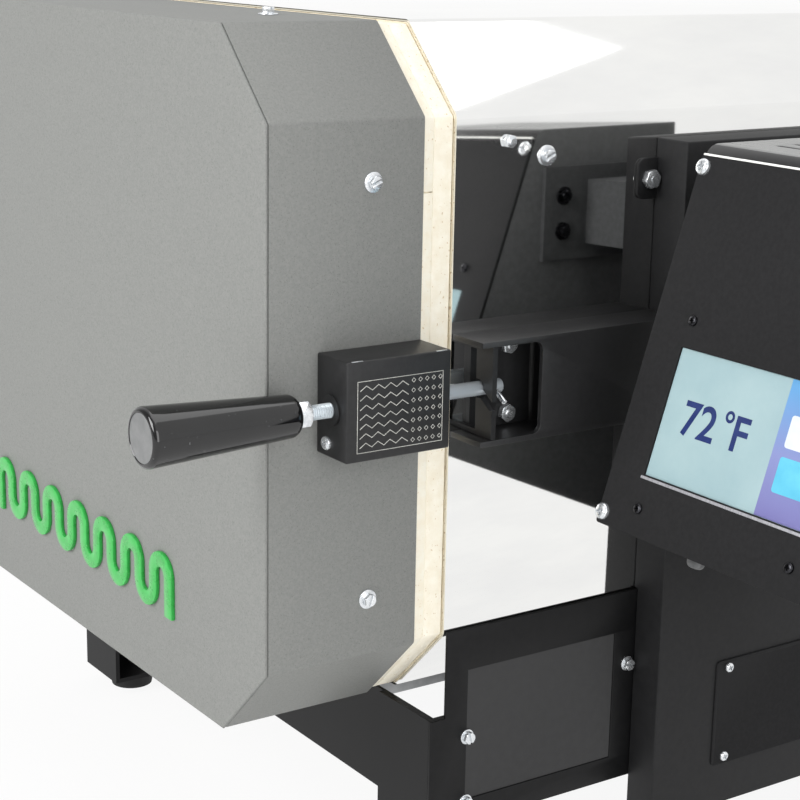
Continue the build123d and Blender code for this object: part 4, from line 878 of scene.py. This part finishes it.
caseLook = sized(front=138, edge=1.0, step=2.6, stepUp=0.3)
ear = sized(drop=11, tall=23, thick=2, joined=10, corner=5, edge=0.35, nutIn=6)
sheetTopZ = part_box("base_side_right")[1].z
caseLow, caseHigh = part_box("side_enclosure")
caseY = jacketLow.y + caseLook["front"]  # the case's front; the ear reaches further
earTop = caseHigh.z - ear["drop"]
earBottom = earTop - ear["tall"]
sideCase = addBlock("sideCase", (sideX, caseY, caseLow.z), caseHigh)
carve(sideCase, addBlock(
    "ledge", (sideX - past, caseY - past, caseLow.z - past),
    (sideX + caseLook["step"], caseHigh.y + past, sheetTopZ + caseLook["stepUp"]),
))
soften(sideCase, caseLook["edge"], 3)
earEnd = (sideX + ear["thick"], caseY + ear["joined"], earTop)
caseEar = addBlock("caseEar", (sideX, caseLow.y, earBottom), earEnd)
roundEdges(caseEar, lambda middle, along: abs(along.x) > 0.9 and middle.y < caseY, ear["corner"], 6)
soften(caseEar, ear["edge"])
sideEnclosure = merge("sideEnclosure", [sideCase, caseEar])
dress(sideEnclosure, "root", "caseBlack", "satin_black", "side_enclosure")

nutAt = dict(back=34 * mm, up=128 * mm, turn=0.3, earTurn=0.7)
sideNut = addStudNut("sideNut", **sized(across=6.4, rise=3.0, studRadius=1.8, studOut=1.2))
earNut = addStudNut("earNut", **sized(across=9.5, rise=4.0, studRadius=2.2, studOut=0.6))
bodyPoint = (sideX, jacketLow.y + nutAt["back"], axisZ + nutAt["up"])
earPoint = (sideX + ear["thick"], caseY - ear["nutIn"], (earTop + earBottom) / 2)
sideNuts = merge("sideNuts", [
    copyTo(sideNut, "bodyNut", [seatAt(bodyPoint, (1, 0, 0), nutAt["turn"])]),
    copyTo(earNut, "earNut", [seatAt(earPoint, (1, 0, 0), nutAt["earTurn"])]),
])
dress(sideNuts, "root", "zincPlate", "zinc_steel", "side_nuts")

label = sized(corner=3, rim=1.6, slope=0.3, sunk=0.25, edge=0.15)
labelLow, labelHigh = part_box("data_plate")
dataPlate = addBlock("dataPlate", labelLow, labelHigh)
roundEdges(dataPlate, running(1, 0, 0), label["corner"], 5)
pickFaces(dataPlate, facing(1, 0, 0))
inset(label["rim"])
inset(label["slope"], -label["sunk"])  # a sunk field, left bare
closeMesh()
soften(dataPlate, label["edge"], 1, 60)
dress(dataPlate, "root", "panelBlack", "satin_black", "data_plate")
print("body done")

# control box: a sloped front, a rounded top front corner and a rising bottom

controlFace = dict(origin=(184.823 * mm, -154.51 * mm, 325 * mm), tilt=18, down=67.2 * mm, sheet=2 * mm)
tilt = radians(controlFace["tilt"])
faceX, faceY, faceZ = controlFace["origin"]
faceFrame = Matrix((
    (1, 0, 0, faceX),
    (0, sin(tilt), -cos(tilt), faceY),
    (0, cos(tilt), sin(tilt), faceZ),
    (0, 0, 0, 1),
))
faceOut = Vector((0, -cos(tilt), sin(tilt)))
upSlope = Vector((0, sin(tilt), cos(tilt)))


def onFace(u, v, n=0.0):
    return faceFrame @ Vector((u, v, n))


def addPlate(name, left, right, low, high, back, front):
    # drawn flat at the origin, in mm
    return addBlock(name, (left * mm, low * mm, back * mm), (right * mm, high * mm, front * mm))


def layOnFace(piece, finishName, slot, *nodes, edge=0, steps=2):
    # from the flat drawing to its place on the slope; the edge is in mm
    if edge:
        soften(piece, edge * mm, steps)
    piece.data.transform(faceFrame)
    dress(piece, "root", finishName, slot, *nodes)


boxForm = dict(sized(topRound=6, topDeep=1, frontOf=-50, edge=0.7, lid=0.3), rising=24.9)
vents = dict(sized(top=137, first=26, step=13, slot=3, inset=22, deep=1.4), rows=6)
controlLow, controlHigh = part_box("control_box")
rising = radians(boxForm["rising"])
behind = -controlFace["sheet"]
controlBox = addBlock("controlBox", controlLow, controlHigh)
pickFaces(controlBox, everyFace)
bpy.ops.mesh.bisect(plane_co=onFace(0, 0, behind), plane_no=faceOut, use_fill=True, clear_outer=True)
bpy.ops.mesh.select_all(action="SELECT")
bpy.ops.mesh.bisect(
    plane_co=onFace(0, -controlFace["down"], behind), plane_no=(0, -sin(rising), -cos(rising)), use_fill=True,
    clear_outer=True,
)
closeMesh()


def topFrontEdge(middle, along):
    high = middle.z > controlHigh.z - boxForm["topDeep"]
    return abs(along.x) > 0.9 and high and middle.y < boxForm["frontOf"]


roundEdges(controlBox, topFrontEdge, boxForm["topRound"], 8)
slots = []
for row in range(vents["rows"]):
    y = onFace(0, vents["top"], behind).y + vents["first"] + row * vents["step"]
    slots.append(addBlock(
        "slot", (controlLow.x + vents["inset"], y, controlHigh.z - vents["deep"]),
        (controlHigh.x - vents["inset"], y + vents["slot"], controlHigh.z + 1 * mm),
    ))
carve(controlBox, *slots)
soften(controlBox, boxForm["edge"])
dress(controlBox, "root", "satinBlack", "satin_black", "control_box")
lidZ = controlHigh.z - boxForm["lid"]
secondFinish(controlBox, "lidSilver", lambda middle, normal: normal.z > 0.9 and middle.z > lidZ)
# the left side, facing the jacket, is painted lighter than the rest of the box: painted bounce light
secondFinish(controlBox, "sidePaintedLightGrey", lambda middle, normal: normal.x < -0.7)

# faceplate, with a painted highlight strip on its top edge, where its bend catches the light
faceplateAt = dict(left=0, right=162.7, low=-67.2, high=132.1, back=-2, front=0)
faceHighlightAt = dict(left=0.8, right=161.9, low=131.2, high=132.35, back=-0.8, front=0.2)
screenAt = dict(left=24.6, right=138.1, low=-35.3, high=32.8)
faceLook = sized(corner=1.8, bright=10)
faceplate = addPlate("faceplate", **faceplateAt)
roundEdges(faceplate, running(0, 0, 1), faceLook["corner"])
carve(faceplate, addPlate("window", **screenAt, back=-10, front=10))
layOnFace(faceplate, "panelBlack", "satin_black", "faceplate", edge=0.3)
layOnFace(addPlate("faceHighlight", **faceHighlightAt), "edgePaintedHighlight", "satin_black", edge=0.25)
brightZ = controlHigh.z - faceLook["bright"]
# the faceplate's upward faces near its top take the painted highlight too
secondFinish(faceplate, "edgePaintedHighlight", lambda middle, normal: normal.dot(upSlope) > 0.6 and middle.z > brightZ)

# screen: a plain reading on the left and a menu on the right
menuAt = dict(left=102.7, right=137.9, low=-35.1, high=32.6, back=-1.4, front=-1.14)
buttonAt = dict(left=109, right=134, back=-1.2, front=-1.02)
glass = addPlate("screenGlass", **screenAt, back=-2, front=-1.2)
layOnFace(glass, "screenTeal", "screen_glass", "touch_screen", edge=0.2, steps=1)
layOnFace(addPlate("screenMenu", **menuAt), "screenMenu", "screen_glass", edge=0.03, steps=1)
buttonCorner = 1.6 * mm
buttons = (("menuButton", 0, 16, "buttonWhite"), ("readyButton", -22, -4.5, "buttonCyan"))
for name, low, high, finishName in buttons:
    button = addPlate(name, low=low, high=high, **buttonAt)
    roundEdges(button, running(0, 0, 1), buttonCorner)
    layOnFace(button, finishName, "screen_glass")

# a temperature of two digits and degrees, as any such screen shows
reading = sized(size=25, low=-9.5, level=-1.14, deep=0.06, bold=0.35)
ring = dict(at=(70.3 * mm, 6.0 * mm, -1.1 * mm), major=2.3 * mm, minor=0.8 * mm, flat=0.08)
digits = []
for word, left in (("72", 38), ("F", 73.5)):
    clearSelection()
    bpy.ops.object.text_add(location=(left * mm, reading["low"], reading["level"]))
    sign = bpy.context.object
    sign.data.body = word
    sign.data.size = reading["size"]
    sign.data.extrude = reading["deep"]
    sign.data.offset = reading["bold"]
    bpy.ops.object.convert(target="MESH")
    digits.append(settle(bpy.context.object))
clearSelection()
bpy.ops.mesh.primitive_torus_add(
    location=ring["at"], major_radius=ring["major"], minor_radius=ring["minor"],
    major_segments=36, minor_segments=8,
)
degree = settle(bpy.context.object)
pickFaces(degree, everyFace)
bpy.ops.transform.resize(value=(1, 1, ring["flat"]), center_override=ring["at"])
closeMesh()
screenDigits = merge("screenDigits", [*digits, degree])
layOnFace(screenDigits, "screenInk", "screen_glass")

# light strip under the screen, with a dark gap above it
bezelAt = dict(left=23.1, right=139.6, low=-37.5, high=-36, back=-0.6, front=0.35)
layOnFace(addPlate("screenBezel", **bezelAt), "bezelGrey", "satin_black", edge=0.3, steps=3)

# corner screws are bright, the four around the screen are dark; places on the face in mm, and a turn
cornerAt = ((3.7, -60.8, 0.3), (3.7, 125, 0.1), (159, -60.8, 0.6), (159, 125, 0.9))
displayAt = dict(u=(28, 134.7), v=(-52.9, 47), turn=0.5)
plateAt = dict(inY=10 * mm, inZ=5 * mm, turn=0.4)
cornerSeats = [seatAt(onFace(u * mm, v * mm), faceOut, turn) for u, v, turn in cornerAt]
plateSeats = [
    seatAt((labelHigh.x, y, z), (1, 0, 0), plateAt["turn"])
    for y in (labelLow.y + plateAt["inY"], labelHigh.y - plateAt["inY"])
    for z in (labelHigh.z - plateAt["inZ"], labelLow.z + plateAt["inZ"])
]
cornerScrews = merge("cornerScrews", [
    copyTo(cornerScrew, "corners", cornerSeats), copyTo(plateScrew, "plates", plateSeats)
])
dress(cornerScrews, "root", "zincPlate", "zinc_steel", "small_screws")
displayScrews = copyTo(darkScrew, "displayScrews", [
    seatAt(onFace(u * mm, v * mm), faceOut, displayAt["turn"] + u)
    for u in displayAt["u"] for v in displayAt["v"]
])
dress(displayScrews, "root", "blackScrew", "black_screw")

# small grey tab that shows under the face
lowerTabAt = dict(left=64.5, right=75, low=-71.5, high=-66, back=-9, front=-6)
tabForm = sized(corner=3.5, below=-70)
lowerTab = addPlate("lowerTab", **lowerTabAt)
roundEdges(
    lowerTab, lambda middle, along: abs(along.z) > 0.9 and middle.y < tabForm["below"], tabForm["corner"], 6
)
layOnFace(lowerTab, "tabGrey", "satin_black", edge=0.4)
print("control box done")

# stand: side sheets with sunk panels, bolted to four angle legs

pressed = sized(edge=0.35, sunk=1, pan=15, frontPan=16, band=25, notchZ=133, notchIn=1)
for name, node, side in (("baseSheetRight", "base_side_right", 1), ("baseSheetLeft", "base_side_left", -1)):
    low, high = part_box(node)
    face = high.x if side > 0 else low.x
    sheet = addBlock(name, low, high)
    carve(sheet, addBlock(
        "notch", (low.x - past, low.y - past, pressed["notchZ"]),
        (high.x + past, jacketLow.y + pressed["notchIn"], high.z + past),
    ))
    pans = (
        (jacketLow.y + pressed["frontPan"], caseY - pressed["pan"]),
        (caseY + pressed["pan"], high.y - pressed["pan"]),
    )
    for panLow, panHigh in pans:
        carve(sheet, addBlock(
            "pan", (face - pressed["sunk"], panLow, low.z + pressed["pan"]),
            (face + pressed["sunk"], panHigh, high.z - pressed["band"]),
        ))
    soften(sheet, pressed["edge"])
    dress(sheet, "root", "standBlack", "stand_black", node)
    floorX = face - side * pressed["sunk"]
    # the floors of the sunk pans take the lighter copy of the same paint: painted sheen
    secondFinish(
        sheet, "standPaintedSheen", lambda middle, way: abs(middle.x - floorX) < 0.2 * mm and way.x * side > 0.9
    )

boltAt = dict(sized(inset=25, caseBack=5, caseDown=186.7), heights=(119 * mm, 79 * mm), turn=0.5, turning=9)
wideAt = dict(sized(back=60, up=119, sheet=3, armIn=14, armEnd=18), turn=0.5, armTurns=(0.2, 0.8))
standBolt = addHexScrew("standBolt", **sized(washer=4.4, washerRise=0.8, across=6.4, rise=3.2))
standLow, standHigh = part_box("base_side_right")
boltPlaces = [
    (y, z) for y in (standLow.y + boltAt["inset"], standHigh.y - boltAt["inset"]) for z in boltAt["heights"]
]
boltPlaces.append((caseY - boltAt["caseBack"], axisZ - boltAt["caseDown"]))
standBolts = copyTo(standBolt, "standBolts", [
    seatAt((x, y, z), (side, 0, 0), boltAt["turn"] + y * boltAt["turning"])
    for x, side in ((standHigh.x, 1), (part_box("base_side_left")[0].x, -1)) for y, z in boltPlaces
])
wideScrew = addHexScrew("wideScrew", **sized(washer=5.6, washerRise=1.0, across=6.4, rise=3.4))
armLow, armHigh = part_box("control_arm")
widePoint = (sideX, jacketLow.y + wideAt["back"], axisZ + wideAt["up"])
bodyScrew = copyTo(wideScrew, "bodyScrew", [seatAt(widePoint, (1, 0, 0), wideAt["turn"])])
armHeights = (armLow.z + wideAt["armEnd"], armHigh.z - wideAt["armEnd"])
armScrews = copyTo(wideScrew, "armScrews", [
    seatAt((controlLow.x - wideAt["sheet"], armLow.y + wideAt["armIn"], z), (-1, 0, 0), turn)
    for z, turn in zip(armHeights, wideAt["armTurns"])
])
dress(armScrews, "root", "blackScrew", "black_screw")
hexScrews = merge("hexScrews", [standBolts, bodyScrew])
dress(hexScrews, "root", "zincPlate", "zinc_steel", "hex_screws")
for model in (
    panScrew, cornerScrew, plateScrew, darkScrew, hexScrew, catchNut, sideNut, earNut, standBolt, wideScrew
):
    bpy.data.objects.remove(model)
print("stand done")

# pale floor, which keeps the oven's shadow, and a white studio around it

stage = dict(
    size=40.0, floor=(252, 252, 251), floorRough=0.9, glow=0.9, sky=(255, 255, 255), light=0.5, front=0.35,
    dimFrom=0.1, dimTo=0.55,
)
pureWhite = (1, 1, 1, 1)


def highest(tree, one, other):
    node = addNode(tree, "Math")
    node.operation = "MAXIMUM"
    tree.links.new(one, node.inputs[0])
    tree.links.new(other, node.inputs[1])
    return node.outputs[0]


def seenStraight(tree, rays):
    # 1 for what the camera, gloss and glass see, and 0 for the light that falls on things
    seen = highest(tree, rays.outputs["Is Camera Ray"], rays.outputs["Is Glossy Ray"])
    return highest(tree, seen, rays.outputs["Is Transmission Ray"])


def addBlend(tree, share, one, other):
    blend = addNode(tree, "MixShader")
    tree.links.new(share, blend.inputs["Fac"])
    tree.links.new(one, blend.inputs[1])
    tree.links.new(other, blend.inputs[2])
    return blend.outputs["Shader"]


clearSelection()
bpy.ops.mesh.primitive_plane_add(size=stage["size"])
floor = bpy.context.object
floor.name = "floor"
floorFinish = bpy.data.materials.new("floorFinish")
floorFinish.use_nodes = True
tree, link = floorFinish.node_tree, floorFinish.node_tree.links.new
paint = tree.nodes["Principled BSDF"]
setSockets(paint, {"Base Color": tone(*stage["floor"]), "Roughness": stage["floorRough"]})
glow = addNode(tree, "Emission", {"Color": pureWhite})
share = addNode(tree, "Math", {1: stage["glow"]})
share.operation = "MULTIPLY"
link(seenStraight(tree, addNode(tree, "LightPath")), share.inputs[0])
blend = addBlend(tree, share.outputs[0], paint.outputs["BSDF"], glow.outputs["Emission"])
link(blend, tree.nodes["Material Output"].inputs["Surface"])
floor.data.materials.append(floorFinish)

world = bpy.data.worlds.new("studio")
bpy.context.scene.world = world
world.use_nodes = True
tree, link = world.node_tree, world.node_tree.links.new
tree.nodes.clear()
rays = addNode(tree, "LightPath")
soft = addNode(tree, "Background", {"Color": tone(*stage["sky"]), "Strength": stage["light"]})
white = addNode(tree, "Background", {"Color": pureWhite})
# gloss sees the studio dimmer in front, where the room opens, and white elsewhere
way = addNode(tree, "TexCoord")
toFront = addNode(tree, "VectorMath", {1: (0, -1, 0)})
toFront.operation = "DOT_PRODUCT"
dimming = addNode(tree, "MapRange", {"From Min": stage["dimFrom"], "From Max": stage["dimTo"]})
setSockets(dimming, {"To Min": 1, "To Max": stage["front"]})
dimming.interpolation_type = "SMOOTHSTEP"
link(way.outputs["Generated"], toFront.inputs[0])
link(toFront.outputs["Value"], dimming.inputs["Value"])
strength = highest(tree, dimming.outputs["Result"], rays.outputs["Is Camera Ray"])
link(strength, white.inputs["Strength"])
blend = addBlend(tree, seenStraight(tree, rays), soft.outputs["Background"], white.outputs["Background"])
link(blend, addNode(tree, "OutputWorld").inputs["Surface"])

lamps = {
    "keyLamp": dict(place=(0.0, -2.8, 1.7), target=(-0.05, -0.2, 0.3), size=1.6, power=66),
    "fillLamp": dict(place=(2.6, -0.6, 1.0), target=(0.1, 0, 0.3), size=1.8, power=26),
    "topLamp": dict(place=(0.2, 0.2, 2.6), target=(0, 0, 0.3), size=2.0, power=16),
}
for name, lamp in lamps.items():
    clearSelection()
    turn = (Vector(lamp["target"]) - Vector(lamp["place"])).to_track_quat("-Z", "Y").to_euler()
    bpy.ops.object.light_add(type="AREA", location=lamp["place"], rotation=turn)
    light = bpy.context.object
    light.name = name
    light.data.size = lamp["size"]
    light.data.energy = lamp["power"]

cameraAt = dict(
    place=(0.9068, -0.79375, 0.5653), heading=55.68, down=14.29, roll=1.064, lens=84.98, sensor=36
)
clearSelection()
bpy.ops.object.camera_add(location=cameraAt["place"])
camera = bpy.context.object
view = (
    Euler((0, 0, radians(cameraAt["heading"]))).to_matrix()
    @ Euler((radians(90 - cameraAt["down"]), 0, 0)).to_matrix()
    @ Euler((0, 0, radians(cameraAt["roll"]))).to_matrix()
)
camera.rotation_euler = view.to_euler()
camera.data.lens = cameraAt["lens"]
camera.data.sensor_width = cameraAt["sensor"]
bpy.context.scene.camera = camera
bpy.context.scene.view_settings.view_transform = "Standard"
print("stage, lamps and camera set")
